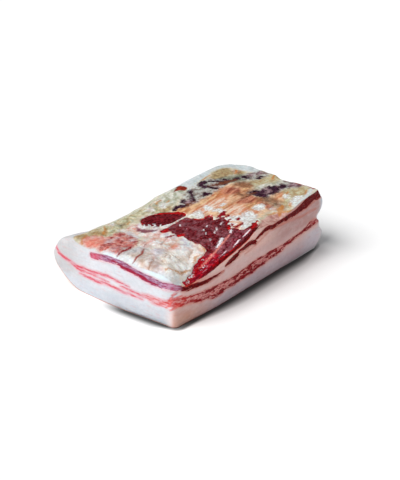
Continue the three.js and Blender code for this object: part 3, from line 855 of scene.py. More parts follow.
def shape_layer(piece, number, top=False):
    """Gives a unit block the form of one of the slab's layers, and stores where its colours lie."""
    along, across, rise = points_of(piece).T
    depth = lerp(surface(number, along, across), surface(number + 1, along, across), rise)
    x, y, z, over_skin = place(along, across, depth)
    walls, way = way_round(along, across, depth)
    marks = distances(way, z, CUT_MARKS, {})
    set_values(piece, way=way, over_skin=over_skin, **marks)

    near, long_cut, far, back = np.exp(-walls / CORNER_BLEND)
    out_x = far - near
    out_y = back - long_cut
    inland = walls.min(0)
    out = wall_relief(x, y, z, marks) * np.exp(-inland / RELIEF_DEPTH) * smoothstep(over_skin, 0, 3)
    reach = np.maximum(np.hypot(out_x, out_y), LEAST_REACH)
    if top:
        z = z + shape_inner_side(piece, x, y, rise, inland)
    set_points(piece, x + out * out_x / reach, y + out * out_y / reach, z)
    if top:
        soften(piece, "cut rim", (rise > 0.9) * (1 - smoothstep(inland, 0.5, 2.5)), 5)
    return piece


def shape_inner_side(piece, x, y, rise, inland):
    """The rise of the inner side at each point of the top layer. Its patches are stored as distances."""
    torn_x = x + uneven(x, y, (1.3, 8, 21), (0.8, 3, 22))
    torn_y = y + uneven(x, y, (1.3, 8, 23), (0.8, 3, 24))
    patches = distances(torn_x, torn_y, LINES, PATCHES)
    muscle = muscle_distance(x, y)
    white = smoothstep(-patches["white_fat"], -3, 3)
    olive = smoothstep(-patches["olive"], -4, 4)
    lift, crease = inner_side_relief(x, y, muscle, white, olive)
    lift = lift - 0.5 * smoothstep(-patches["creases"], -1.2, 0.4)
    set_values(piece, wall=smoothstep(1 - rise, 0, 0.12), muscle_edge=muscle, crease=crease, **patches)
    return lift * smoothstep(rise, 0.6, 1) * smoothstep(inland, -1, 6)


# ---------------------------------------------------------------- The sheets of muscle

SHEET_CELL = 0.8
SHEET_THICK = 1.9
TUCKED_UNDER = 2.5  # how far a sheet runs on under the fat beside it
SHEET_SLACK = 4  # how far a sheet's own outline may be overrun by the muscles' ragged edge
SLOPE_STEP = 0.2  # over how many millimetres the edge's slope is measured
PULLS = 3  # how often the rim's points are pulled to the edge


def sheet_surface(u, v):
    """A point and outward direction of the inner side, which bends over the long cut's edge at v = 0."""
    along = u / LENGTH
    over = np.minimum(v, 0)
    across = np.maximum(v, 0) / inner_width(along)
    x, y, z, _ = place(along, across, 1 + over / slab_height(u, 0 * u))
    turn = (math.pi / 2) * smoothstep(-v, -2, 2)
    return x, y, z, y + over, turn


def cut_out(piece, outside):
    """Deletes the cells that reach outside, and tells which points are on the rim that is left."""
    bpy.ops.object.mode_set(mode="EDIT")
    pick(piece, "FACE", lambda face: max(outside[vert.index] for vert in face.verts) > 0)
    bpy.ops.mesh.delete(type="FACE")
    bpy.ops.mesh.select_mode(type="VERT")
    bpy.ops.mesh.select_all(action="DESELECT")
    bpy.ops.mesh.select_non_manifold()
    bpy.ops.object.mode_set(mode="OBJECT")
    return np.array([vert.select for vert in piece.data.vertices])


def pulled_in(u, v, rim, edge):
    """The points, with those on the rim moved to where the edge's distance is 0."""
    for _ in range(PULLS):
        here = edge(u, v)
        slope_u = (edge(u + SLOPE_STEP, v) - here) / SLOPE_STEP
        slope_v = (edge(u, v + SLOPE_STEP) - here) / SLOPE_STEP
        steepness = np.maximum(slope_u**2 + slope_v**2, 0.3)
        u = u - rim * np.clip(here * slope_u / steepness, -0.5, 0.5)
        v = v - rim * np.clip(here * slope_v / steepness, -0.5, 0.5)
    return u, v


def make_sheet(name, outline, material):
    """A sheet of muscle laid into the inner side, cut to a ragged outline."""
    low = np.min(outline, 0) - 2 * TUCKED_UNDER
    size = np.max(outline, 0) + 2 * TUCKED_UNDER - low
    piece = new_grid(name, *(int(side / SHEET_CELL) for side in size))

    def edge(u, v):
        x, _, _, unrolled, _ = sheet_surface(u, v)
        own = outline_distance(x, unrolled, [outline]) - SHEET_SLACK
        return np.maximum(muscle_distance(x, unrolled), own) - lerp(0, TUCKED_UNDER, smoothstep(v, -0.5, 2))

    def spots():
        u, v, _ = (points_of(piece) * [*size, 1] + [*low, 0]).T
        return u, v

    rim = cut_out(piece, edge(*spots()))
    u, v = pulled_in(*spots(), rim, edge)
    x, y, z, unrolled, turn = sheet_surface(u, v)
    distance = muscle_distance(x, unrolled)
    bumps = uneven(u, v, (0.28, 6, 31), (0.14, 2.4, 32))
    lift = lerp(0.5, 0.9, smoothstep(v, -2, 3)) + bumps * smoothstep(v, -3, 3)
    crowned = smoothstep(-distance, -0.5, 2.5)
    lift = lift - 0.45 * (1 - crowned) * smoothstep(-v, -1, 1)
    marks = distances(x, unrolled, MUSCLE_MARKS, MUSCLE_PATCHES)
    set_values(piece, muscle_edge=distance, over_edge=-v, **marks)
    set_points(piece, x, y - lift * np.sin(turn), z + lift * np.cos(turn))
    soften(piece, "bend", (np.abs(v) < 4) * (1.0 - rim), 3)
    wall = piece.modifiers.new("thickness", "SOLIDIFY")
    wall.thickness = SHEET_THICK * MILLIMETRE
    wall.offset = -1
    bpy.ops.object.modifier_apply(modifier=wall.name)
    bpy.ops.object.shade_smooth()
    piece.data.materials.append(material)
    return piece


# ---------------------------------------------------------------- Nodes

# A Mix node's sockets go by number, since those for numbers and for colours share their names
MIX_SHARE, MIX_FLOATS, MIX_COLOURS = 0, (2, 3), (6, 7)
FLOAT_OUT, COLOUR_OUT = 0, 2


def paint(red, green, blue):
    """A colour named by its red, green and blue from 0 to 255, as a paint chart has them."""
    levels = [value / 255 for value in (red, green, blue)]
    linear = [((level + 0.055) / 1.055) ** 2.4 if level > 0.04 else level / 12.92 for level in levels]
    return (*linear, 1)


class Nodes:
    """Adds nodes to a tree. Each is fed with plain values or with other nodes' outputs."""

    def __init__(self, tree):
        self.tree = tree

    def feed(self, socket, value):
        """Links or sets a socket. Three numbers for a colour are a paint's red, green and blue."""
        if isinstance(value, bpy.types.NodeSocket):
            self.tree.links.new(value, socket)
        elif socket.type == "RGBA" and len(value) == 3:
            socket.default_value = paint(*value)
        else:
            socket.default_value = value

    def add(self, kind, sockets=(), **settings):
        """A node with its settings, and its sockets fed by name or number."""
        node = self.tree.nodes.new("ShaderNode" + kind)
        for name, value in settings.items():
            setattr(node, name, value)
        for key, value in dict(sockets).items():
            self.feed(node.inputs[key], value)
        return node

    def use(self, group, *values, **named):
        """A group's outputs. Values are fed to its inputs in their order, and others by name."""
        labels = {name.replace("_", " ").title(): value for name, value in named.items()}
        return self.add("Group", dict(enumerate(values)) | labels, node_tree=group).outputs

    def stored(self, name):
        return self.add("Attribute", attribute_name=name).outputs["Fac"]

    def maths(self, operation, *values):
        return self.add("Math", enumerate(values), operation=operation).outputs[0]

    def minus(self, value, less):
        return self.maths("SUBTRACT", value, less)

    def joined(self, operation, *values):
        total = values[0]
        for value in values[1:]:
            total = self.maths(operation, total, value)
        return total

    def plus(self, *values):
        return self.joined("ADD", *values)

    def times(self, *values):
        return self.joined("MULTIPLY", *values)

    def most(self, *values):
        return self.joined("MAXIMUM", *values)

    def least(self, *values):
        return self.joined("MINIMUM", *values)

    def squared(self, value):
        """The square of a value, or 0 where it is below 0."""
        return self.maths("POWER", self.most(value, 0), 2)

    def step(self, value, low, high, to_low=0, to_high=1):
        limits = {"Value": value, "From Min": low, "From Max": high, "To Min": to_low, "To Max": to_high}
        return self.add("MapRange", limits, interpolation_type="SMOOTHSTEP").outputs[0]

    def mix(self, share, low, high, kind="RGBA"):
        """Colours mixed, or numbers where the kind is FLOAT."""
        first, second = MIX_COLOURS if kind == "RGBA" else MIX_FLOATS
        node = self.add("Mix", data_type=kind)
        for key, value in ((MIX_SHARE, share), (first, low), (second, high)):
            self.feed(node.inputs[key], value)
        return node.outputs[COLOUR_OUT if kind == "RGBA" else FLOAT_OUT]

    def noise(self, position, size, detail=2, roughness=0.55, bend=0):
        scale = self.maths("DIVIDE", 1, size)
        sockets = {"Vector": position, "Scale": scale, "Detail": detail, "Roughness": roughness}
        return self.add("TexNoise", sockets | {"Distortion": bend}).outputs["Fac"]

    def toned(self, colour, position, size, darkest, lightest):
        """The colour, made darker and lighter by noise."""
        value = self.step(self.noise(position, size, 4, 0.65), 0.3, 0.7, darkest, lightest)
        return self.add("HueSaturation", {"Color": colour, "Value": value}).outputs[0]

    def stretched(self, position, x, y, z=1):
        scale = (1 / x, 1 / y, 1 / z)
        return self.add("VectorMath", {0: position, 1: scale}, operation="MULTIPLY").outputs[0]

    def part_of(self, position, axis):
        return self.add("SeparateXYZ", {"Vector": position}).outputs[axis]

    def position(self):
        """The point in the frame, in millimetres."""
        place_in = self.add("TexCoord").outputs["Object"]
        return self.add("VectorMath", {0: place_in, "Scale": 1 / MILLIMETRE}, operation="SCALE").outputs[0]


def make_group(name, inputs, outputs, build):
    """A node group. Inputs are (name, default), where None makes a vector, and outputs (name, kind)."""
    group = bpy.data.node_groups.new(name, "ShaderNodeTree")
    kinds = {type(None): "Vector", tuple: "Color"}
    for label, default in inputs:
        kind = "NodeSocket" + kinds.get(type(default), "Float")
        socket = group.interface.new_socket(label, in_out="INPUT", socket_type=kind)
        if default is not None:
            socket.default_value = default
    for label, kind in outputs:
        group.interface.new_socket(label, in_out="OUTPUT", socket_type="NodeSocket" + kind)
    entry = group.nodes.new("NodeGroupInput").outputs
    way_out = group.nodes.new("NodeGroupOutput")
    for label, result in build(Nodes(group), entry).items():
        group.links.new(result, way_out.inputs[label])
    return group


# ---------------------------------------------------------------- Effects that several materials use

BLACK = (0, 0, 0, 1)
WHITE = (1, 1, 1, 1)


def build_ragged_patch(nodes, given):
    """A mask, 1 where the distance is below 0, with a torn edge."""
    torn = nodes.noise(given["Position"], given["Grain"], 3, 0.6)
    swing = nodes.times(nodes.minus(torn, 0.5), given["Ragged"], 3)
    low = nodes.times(given["Softness"], -1)
    inside = nodes.step(nodes.plus(given["Distance"], swing), given["Softness"], low)
    return {"Mask": nodes.times(inside, given["Strength"])}


def build_two_tone(nodes, given):
    share = nodes.step(nodes.noise(given["Position"], given["Grain"], 4, 0.6), 0.36, 0.64)
    return {"Colour": nodes.mix(share, given["Dark"], given["Light"])}


def build_fibres(nodes, given):
    fine = nodes.noise(given["Position"], given["Grain"], 3, 0.6, bend=0.3)
    return {"Mask": nodes.step(fine, given["Low"], given["High"])}


def build_moist(nodes, given):
    """Roughness that is uneven around a value, a wet film in pools, and a height for the bump."""
    pools = nodes.noise(given["Position"], 7, detail=3)
    grain = nodes.noise(given["Position"], 0.9)
    return {
        "Roughness": nodes.plus(given["Roughness"], nodes.times(nodes.minus(pools, 0.5), given["Spread"])),
        "Film": nodes.times(nodes.step(pools, 0.45, 0.62), given["Film"]),
        "Height": nodes.plus(nodes.times(grain, 0.35), nodes.times(pools, 0.9)),
    }


RAGGED_PATCH = make_group(
    "ragged patch",
    [("Position", None), ("Distance", 0), ("Ragged", 0.5), ("Grain", 3), ("Softness", 0.6), ("Strength", 1)],
    [("Mask", "Float")],
    build_ragged_patch,
)
TWO_TONE = make_group(
    "two tone flesh",
    [("Position", None), ("Grain", 5), ("Dark", BLACK), ("Light", WHITE)],
    [("Colour", "Color")],
    build_two_tone,
)
FIBRES = make_group(
    "fibres",
    [("Position", None), ("Grain", 1.5), ("Low", 0.4), ("High", 0.6)],
    [("Mask", "Float")],
    build_fibres,
)
MOIST = make_group(
    "moist film",
    [("Position", None), ("Roughness", 0.4), ("Spread", 0.3), ("Film", 0.5)],
    [("Roughness", "Float"), ("Film", "Float"), ("Height", "Float")],
    build_moist,
)

# ---------------------------------------------------------------- The cut faces' colours

# The fat's tints on the short and the long cut, one over another: paint, strength, and the spans of way and
# of height over which each one sets in
# The short cut, which faces the lamp, is painted a cooler bluish white, and the long cut, in shade, pinker:
# partly the fat's own tone, partly painted light and shade
SHORT_CUT_FAT = (186, 186, 188)
SHORT_CUT_TINTS = [
    ((206, 209, 215), 1, [(-138, -92)], []),
    ((192, 198, 206), 1, [], [(20, 9)]),
    ((214, 230, 238), 1, [(-60, -20)], [(43, 47)]),
]
LONG_CUT_FAT = (194, 172, 180)
LONG_CUT_TINTS = [
    ((214, 178, 174), 1, [], [(8, 25)]),
    ((234, 196, 184), 0.8, [], [(34, 42)]),
    ((184, 144, 140), 1, [(105, 170)], [(25, 36)]),
    ((206, 194, 202), 1, [(185, 215)], [(26, 20)]),
    ((150, 108, 104), 0.7, [(134, 144), (170, 160)], [(53, 56)]),
    ((216, 136, 110), 0.7, [(52, 30), (4, 14)], [(34, 37)]),
]


class CutMeat(Nodes):
    """Paints the cut faces: the fat, paler on the short cut, and the lean in it, one coat over another."""

    def __init__(self, tree, given):
        super().__init__(tree)
        self.given = given
        self.spot = given["Position"]
        self.way = given["Way"]
        self.height = self.part_of(self.spot, "Z")
        self.layered = self.stretched(self.spot, 5, 5)
        turn = self.step(self.height, 12, 38, -4, 6)
        self.short = self.step(self.minus(self.way, turn), 4, -4)
        self.fine = self.fibres(1.1, 0.4, 0.6, 3)
        self.threads = self.fibres(2.2, 0.52, 0.7, 5)
        self.strands = self.fibres(1.3, 0.34, 0.62)

    def fibres(self, grain, low, high, stretch=4):
        """A mask of fibres, stretched along the layers."""
        return self.use(FIBRES, self.stretched(self.spot, stretch, stretch), grain, low, high)[0]

    def patch(self, distance, *look):
        """A mask. The look is raggedness, grain, softness and strength."""
        if isinstance(distance, str):
            distance = self.given[distance]
        return self.use(RAGGED_PATCH, self.layered, distance, *look)[0]

    def area(self, *limits):
        """1 where each value lies past its limits: (value, from, to)."""
        return self.times(*(self.step(*limit) for limit in limits))

    def tinted(self, colour, tints):
        """The colour under a table's tints."""
        for tint, strength, ways, heights in tints:
            limits = [(self.way, *span) for span in ways] + [(self.height, *span) for span in heights]
            colour = self.mix(self.times(self.area(*limits), strength), colour, tint)
        return colour

    def fat(self):
        """The fat's tints, with threads and cloudiness in it, and an olive membrane high on the back."""
        way, height, short = self.way, self.height, self.short
        bright = self.tinted(SHORT_CUT_FAT, SHORT_CUT_TINTS)
        fat = self.mix(short, self.tinted(LONG_CUT_FAT, LONG_CUT_TINTS), bright)
        low_corner = self.area((way, 70, 5), (way, -15, -4), (height, 30, 6))
        fat = self.mix(low_corner, fat, self.mix(short, (198, 148, 130), (220, 204, 202)))
        away = self.most(self.step(way, 219, 228), self.step(way, -150, -162))
        fat = self.mix(away, fat, self.mix(self.step(height, 22, 40), (208, 200, 204), (214, 222, 230)))
        olive = self.mix(self.fibres(5, 0.28, 0.72, 2), (158, 156, 126), (200, 199, 176))
        fat = self.mix(self.area((way, -150, -166), (height, 24, 40), (way, -278, -250)), fat, olive)
        fat = self.mix(self.times(self.threads, 0.25), fat, (210, 146, 146))
        return self.mix(self.times(self.fibres(7, 0.35, 0.68, 2), 0.16), fat, (236, 228, 228))

    def blushed(self, fat):
        """The fat with a blush beside the lean."""
        given = self.given
        nearest = self.least(given["Upper Band"], given["Pink Streaks"], given["Pink Zone"])
        by_short_cut = self.times(self.step(nearest, 2.8, 0), 0.42)
        nearest = self.least(given["Upper Band"], given["Thin Streaks"], given["Lower Zone"])
        by_long_cut = self.times(self.step(nearest, 3, 0), 0.5)
        share = self.mix(self.short, by_long_cut, by_short_cut, "FLOAT")
        fat = self.mix(share, fat, self.mix(self.short, (210, 126, 108), (222, 150, 162)))
        return self.mix(self.patch("Blush Lines", 1.4, 2, 1.8, 0.6), fat, (190, 98, 80))

    def lower_lean(self, colour):
        """Pink and mottled, with dark blotches that run into fingers at its lower border."""
        zone = self.patch("Lower Zone", 2.2, 1.7, 0.8)
        colour = self.mix(zone, colour, self.mix(self.fine, (184, 90, 90), (216, 156, 150)))
        cloud = self.noise(self.stretched(self.spot, 2.4, 2.4), 3.2, 3)
        blotches = self.step(self.plus(cloud, self.step(self.way, 30, 140, -0.022, 0.036)), 0.51, 0.57)
        broken = self.step(self.noise(self.layered, 2.6, 3), 0.4, 0.5, 0.05, 1)
        border = self.times(self.patch("Lower Lines", 2.2, 1.8, 0.7), broken)
        lines = self.most(border, self.times(zone, blotches, 0.95))
        tone = self.mix(self.fine, (100, 2, 10), (152, 28, 36))
        tone = self.mix(self.step(self.way, 40, -2), tone, (196, 56, 54))
        return self.mix(self.times(lines, self.step(self.way, -12, -2)), colour, tone), lines

    def pink_lean(self, colour):
        """The lower lean's place on the short cut, with its streaks and strokes."""
        strands = self.fibres(1.3, 0.38, 0.6, 5)
        zone = self.times(self.patch("Pink Zone", 2, 1.6, 1.4), self.short, 0.85)
        colour = self.mix(zone, colour, self.mix(strands, (206, 90, 88), (214, 164, 170)))
        broken = self.step(self.noise(self.stretched(self.spot, 9, 9), 2), 0.36, 0.56, 0.45, 1)
        streaks = self.times(self.patch("Pink Streaks", 1.4, 1.5, 1), broken)
        colour = self.mix(streaks, colour, self.mix(strands, (206, 68, 84), (206, 122, 136)))
        strokes = self.patch("Strokes", 1.4, 1.5, 0.9, 0.7)
        return self.mix(strokes, colour, self.mix(self.fine, (186, 44, 44), (222, 106, 98)))

    def mauve_lean(self):
        """The upper lean of the short cut, fibrous and with a dark rim."""
        mauve = self.mix(self.strands, (140, 62, 96), (180, 144, 170))
        by_back = self.mix(self.strands, (190, 62, 84), (200, 112, 134))
        mauve = self.mix(self.step(self.way, -80, -94), mauve, by_back)
        by_corner = self.mix(self.strands, (168, 60, 90), (198, 146, 172))
        mauve = self.mix(self.step(self.way, -18, -6, 0, 0.8), mauve, by_corner)
        rim = self.step(self.given["Upper Band"], -1.4, -0.2, 0, 0.6)
        mauve = self.mix(self.times(rim, self.step(self.fine, 1, 0, 0.4, 1)), mauve, (148, 36, 70))
        return self.mix(self.patch("Crimson Edge", 1.2, 1.5, 0.8, 0.9), mauve, (150, 8, 44))

    def upper_lean(self, colour):
        """Mauve on the short cut and dark on the long one, with the thin streaks under it."""
        grains = self.fibres(1.2, 0.4, 0.62, 2)
        dark = self.mix(grains, (74, 0, 4), (122, 14, 16))
        dark = self.mix(self.step(self.given["Upper Band"], -1.2, 0.2, 0, 0.6), dark, (150, 20, 18))
        dark = self.mix(self.times(self.fibres(1.6, 0.58, 0.68, 2), 0.5), dark, (170, 84, 84))
        band = self.patch("Upper Band", 1.7, 1.5, 0.5)
        colour = self.mix(band, colour, self.mix(self.short, dark, self.mauve_lean()))
        thin = self.patch(self.minus(self.given["Thin Streaks"], 0.35), 2, 1.5, 0.5)
        return self.mix(thin, colour, self.mix(grains, (80, 0, 2), (130, 8, 14))), self.most(band, thin)

    def skin(self, colour):
        """The skin's thin edge at the foot of the walls, dark along the long cut: partly the rind's colour,
        partly painted contact shadow.
        """
        over_skin = self.minus(self.given["Over Skin"], 1)
        mask = self.use(RAGGED_PATCH, self.spot, over_skin, 0.4, 3, 0.5, 0.9)[0]
        # Dark along the long cut's foot, partly the rind's own colour and partly painted contact shadow;
        # pale on the far end
        rind_and_painted_shade = self.mix(self.step(self.way, 150, 190), (120, 70, 62), (226, 222, 224))
        return self.mix(mask, colour, self.mix(self.short, rind_and_painted_shade, (196, 140, 130)))

    def results(self):
        """The meat's colour, where the lean is, and the height for its bump."""
        colour, lines = self.lower_lean(self.blushed(self.fat()))
        colour, dark = self.upper_lean(self.pink_lean(colour))
        lean = self.most(dark, lines)
        marks = self.noise(self.stretched(self.spot, 9, 9), 1.1, 3)
        strands = self.times(self.strands, lean, 0.35)
        relief = self.plus(self.times(marks, 0.5), strands, self.times(self.threads, 0.25))
        colour = self.toned(self.skin(colour), self.spot, 3, 0.96, 1.03)
        return {"Colour": colour, "Lean": lean, "Height": relief}


CUT_VALUES = ["way", "over_skin", *CUT_MARKS]
CUT_MEAT = make_group(
    "cut meat",
    [("Position", None)] + [(name.replace("_", " ").title(), 0) for name in CUT_VALUES],
    [("Colour", "Color"), ("Lean", "Float"), ("Height", "Float")],
    lambda nodes, given: CutMeat(nodes.tree, given).results(),
)


# ---------------------------------------------------------------- Materials

BUMP_HEIGHT = 0.0006
LENGTHWAYS = ("peach", "pale_peach", "orange", "rose")  # the patches whose mottling runs along the slab
VEINED = "white_fat"


class Finish(Nodes):
    """A material in the making, with its shader's plain values set."""

    def __init__(self, name, bump, scatter=0.12, gloss=0.04):
        self.material = bpy.data.materials.new(name)
        self.material.use_nodes = True
        super().__init__(self.material.node_tree)
        self.shader = self.tree.nodes["Principled BSDF"]
        self.shader.inputs["Specular IOR Level"].default_value = gloss
        self.shader.inputs["Coat Roughness"].default_value = 0.12
        self.shader.inputs["Subsurface Weight"].default_value = scatter
        self.shader.inputs["Subsurface Radius"].default_value = (1.0, 0.45, 0.3)
        self.shader.inputs["Subsurface Scale"].default_value = 0.0018
        self.bump = bump
        self.spot = self.position()

    def fibres(self, grain, low, high, where=None):
        return self.use(FIBRES, where or self.spot, grain, low, high)[0]

    def patch(self, name, *look):
        """A mask from a stored distance. The look is raggedness, grain, softness and strength."""
        return self.use(RAGGED_PATCH, self.spot, self.stored(name), *look)[0]

    def cut_meat(self):
        return self.use(CUT_MEAT, self.spot, **{name: self.stored(name) for name in CUT_VALUES})

    def done(self, colour, roughness, height, film=0):
        """Wires the shader up, and gives the material."""
        relief = self.add("Bump", {"Strength": self.bump, "Distance": BUMP_HEIGHT, "Height": height})
        wires = {"Base Color": colour, "Roughness": roughness, "Normal": relief.outputs["Normal"]}
        for name, value in (wires | {"Coat Weight": film}).items():
            self.feed(self.shader.inputs[name], value)
        return self.material


def make_cut_face():
    """The cut faces of the layers: a little moist, and drier on the lean."""
    nodes = Finish("cut face", bump=0.5)
    meat = nodes.cut_meat()
    wet = nodes.use(MOIST, nodes.spot, roughness=0.5, spread=0.3, film=0.25)
    film = nodes.times(wet["Film"], nodes.minus(1, meat["Lean"]), 0.4)
    height = nodes.plus(meat["Height"], nodes.times(wet["Height"], 0.5))
    return nodes.done(meat["Colour"], wet["Roughness"], height, film)


def make_rind():
    """Bare skin, with pores and wrinkles."""
    nodes = Finish("rind", bump=0.6)
    colour = nodes.use(TWO_TONE, nodes.spot, 14, (196, 142, 122), (222, 184, 160))[0]
    pores = nodes.add("TexVoronoi", {"Vector": nodes.spot, "Scale": 0.32})
    dots = nodes.step(pores.outputs["Distance"], 0.2, 0.05)
    wrinkles = nodes.fibres(1.6, 0.4, 0.6, nodes.stretched(nodes.spot, 3, 1))
    colour = nodes.mix(nodes.times(dots, 0.5), colour, (150, 96, 84))
    colour = nodes.mix(nodes.times(wrinkles, 0.2), colour, (228, 198, 176))
    wet = nodes.use(MOIST, nodes.spot, roughness=0.5, spread=0.2, film=0.2)
    height = nodes.minus(nodes.times(wrinkles, 0.4), nodes.times(dots, 0.8))
    return nodes.done(colour, wet["Roughness"], height)


def veins_of(nodes):
    """A broken net of fine veins."""
    bend = nodes.add("TexNoise", {"Vector": nodes.spot, "Scale": 0.14, "Detail": 3}).outputs["Color"]
    sockets = {0: bend, 1: (9, 9, 9), 2: nodes.spot}
    bent = nodes.add("VectorMath", sockets, operation="MULTIPLY_ADD").outputs[0]
    cells = nodes.add("TexVoronoi", {"Vector": bent, "Scale": 0.1}, feature="DISTANCE_TO_EDGE")
    net = nodes.step(cells.outputs["Distance"], 0.1, 0)
    return nodes.times(net, nodes.step(nodes.noise(nodes.spot, 12), 0.44, 0.6))


def membrane_and_fat(nodes, lengthways):
    """The colour of the inner side: its patches, then its lines, then the fat's halo round the muscles."""
    veins = veins_of(nodes)
    colour = nodes.use(TWO_TONE, nodes.spot, 8, (190, 182, 156), (210, 202, 184))[0]
    for name, (dark, light, grain, ragged, softness, strength) in PATCH_LOOKS.items():
        where = lengthways if name in LENGTHWAYS else nodes.spot
        mask = nodes.patch(name, ragged, 3, softness, strength)
        colour = nodes.mix(mask, colour, nodes.use(TWO_TONE, where, grain, dark, light)[0])
        if name == VEINED:
            colour = nodes.mix(nodes.times(mask, veins, 0.35), colour, (196, 142, 108))

    crease = nodes.times(nodes.stored("crease"), nodes.step(nodes.noise(nodes.spot, 9), 0.35, 0.6, 0.35, 1))
    colour = nodes.mix(nodes.times(crease, 0.5), colour, (190, 148, 106))
    for name, (tint, ragged, softness, strength) in LINE_LOOKS.items():
        colour = nodes.mix(nodes.patch(name, ragged, 2, softness, strength), colour, tint)
    edge = nodes.stored("muscle_edge")
    halo = nodes.times(nodes.step(edge, 2.6, 0.6), nodes.step(nodes.noise(nodes.spot, 3), 0.38, 0.56), 0.75)
    bloody = nodes.step(nodes.noise(nodes.spot, 7), 0.5, 0.58)
    colour = nodes.mix(halo, colour, nodes.mix(bloody, (226, 226, 218), (206, 120, 108)))
    for size, darkest in ((5, 0.92), (2.2, 0.9)):
        colour = nodes.toned(colour, nodes.spot, size, darkest, 1.06)
    return nodes.mix(nodes.patch("muscle_edge", 0.7, 1.6, 0.5), colour, (150, 22, 28))


def make_inner_side():
    """The inner side's membrane and fat on top, and the cut meat on the same layer's walls."""
    nodes = Finish("inner side", bump=0.55)
    lengthways = nodes.stretched(nodes.spot, 3.5, 1)
    colour = membrane_and_fat(nodes, lengthways)
    meat = nodes.cut_meat()
    wall = nodes.stored("wall")
    wet = nodes.use(MOIST, nodes.spot, roughness=0.42, spread=0.35, film=0.25)
    fine = nodes.times(nodes.noise(nodes.spot, 1.4, 4), 0.7)
    streaks = nodes.times(nodes.fibres(2.4, 0.42, 0.54, lengthways), 0.3)
    height = nodes.plus(fine, streaks, wet["Height"])
    return nodes.done(
        nodes.mix(wall, colour, meat["Colour"]),
        nodes.plus(wet["Roughness"], nodes.times(wall, 0.08)),
        nodes.mix(wall, height, meat["Height"], "FLOAT"),
        wet["Film"],
    )


def make_raw_muscle():
    """Dark red, fibrous muscle, with a flap over the long cut and a bright tip towards the near corner."""
    nodes = Finish("raw muscle", bump=0.6, scatter=0.04, gloss=0.02)
    slanted = nodes.stretched(nodes.spot, 1.6, 1)
    lengthways = nodes.stretched(nodes.spot, 3, 1)
    fibres = nodes.fibres(2, 0.38, 0.62, slanted)
    colour = nodes.mix(fibres, (66, 0, 8), (120, 30, 38))

    def coat(mask, *tones):
        """The colour under a coat of one tone, or of a dark and a light one in fibres."""
        tone = tones[0] if len(tones) == 1 else nodes.mix(fibres, *tones)
        return nodes.mix(mask, colour, tone)

    flap = nodes.patch("flap", 1.5, 3, 2)
    colour = coat(flap, (70, 2, 10), (134, 50, 64))
    # Pale pink streaks on the flap: partly its paler fibres, partly painted highlight of its wet face
    colour = coat(nodes.times(flap, nodes.fibres(1.2, 0.62, 0.7, slanted), 0.5), (216, 176, 190))
    large = nodes.step(nodes.part_of(nodes.spot, "Y"), 1, -6)
    # Pale greyish clouds on the large muscle: painted sheen
    colour = coat(nodes.times(nodes.fibres(9, 0.42, 0.66), large, 0.6), (144, 92, 100))
    # Pale pink specks along the slant: partly the muscle's own flecks, partly painted glints
    grains = nodes.fibres(1.5, 0.6, 0.7, slanted)
    colour = coat(nodes.times(grains, nodes.maths("MULTIPLY_ADD", large, 0.4, 0.2)), (204, 146, 158))
    edge = nodes.stored("muscle_edge")
    border = nodes.times(nodes.step(edge, -2, -0.3), nodes.fibres(3, 0.36, 0.6), 0.85)
    colour = coat(border, (96, 0, 8), (160, 10, 22))
    colour = coat(nodes.patch("bright_ends", 1.8, 2, 1.2, 0.85), (146, 0, 8), (214, 26, 20))
    crimson = nodes.mix(nodes.fibres(1.8, 0.42, 0.58, lengthways), (112, 4, 26), (184, 16, 38))
    # Pale pink streaks on the tip: partly its paler fibres, partly painted highlight
    pale = nodes.times(nodes.fibres(1.5, 0.56, 0.68, lengthways), 0.55)
    colour = coat(nodes.patch("tip", 2, 2, 2, 0.9), nodes.mix(pale, crimson, (226, 158, 172)))
    over = nodes.step(nodes.stored("over_edge"), 0, 2)
    colour = coat(nodes.times(over, 0.9), (112, 0, 4), (152, 6, 12))
    colour = coat(nodes.patch("dark_rim", 1.2, 2, 0.9, 0.9), (70, 0, 2), (104, 2, 6))
    colour = coat(nodes.times(over, nodes.step(edge, -1.9, -0.7)), (214, 50, 34))
    colour = coat(nodes.patch("red_line", 1, 2, 0.6, 0.9), (136, 0, 6), (186, 14, 18))
    colour = coat(nodes.patch("seam", 1.4, 1.6, 0.9, 0.85), (226, 140, 128))
    colour = nodes.toned(colour, slanted, 1.8, 0.74, 1.2)
    # White flecks of fat, and small painted glints
    colour = coat(nodes.patch("white_flecks_and_glints", 2.2, 1.2, 0.6, 0.95), (224, 224, 228))
    # Thin pale lines: painted highlight of the wet flap
    colour = coat(nodes.patch("painted_wet_highlight", 0.8, 1.2, 0.4), (236, 220, 226))
    wet = nodes.use(MOIST, nodes.spot, roughness=0.38, spread=0.3, film=0.3)
    height = nodes.plus(nodes.times(fibres, 0.6), wet["Height"])
    return nodes.done(colour, wet["Roughness"], height, nodes.times(wet["Film"], 0.5))


# ---------------------------------------------------------------- Camera, light and floor

CAMERA_AZIMUTH = math.radians(51.131)
CAMERA_ELEVATION = math.radians(24.261)
CAMERA_DISTANCE = 0.96606
CAMERA_TARGET = (161.01, 103.825)
CAMERA_LENS, SENSOR_HEIGHT = 67.73, 36
# The floor's painted shadow beside the slab: its corner radius, and the white and dark paints it mixes
SHADE_CORNER = 7  # radius of the floor's shade round the slab's corners
FLOOR_WHITE = (0.96, 0.96, 0.96, 1)
FLOOR_PAINTED_SHADOW = (0.02, 0.02, 0.02, 1)


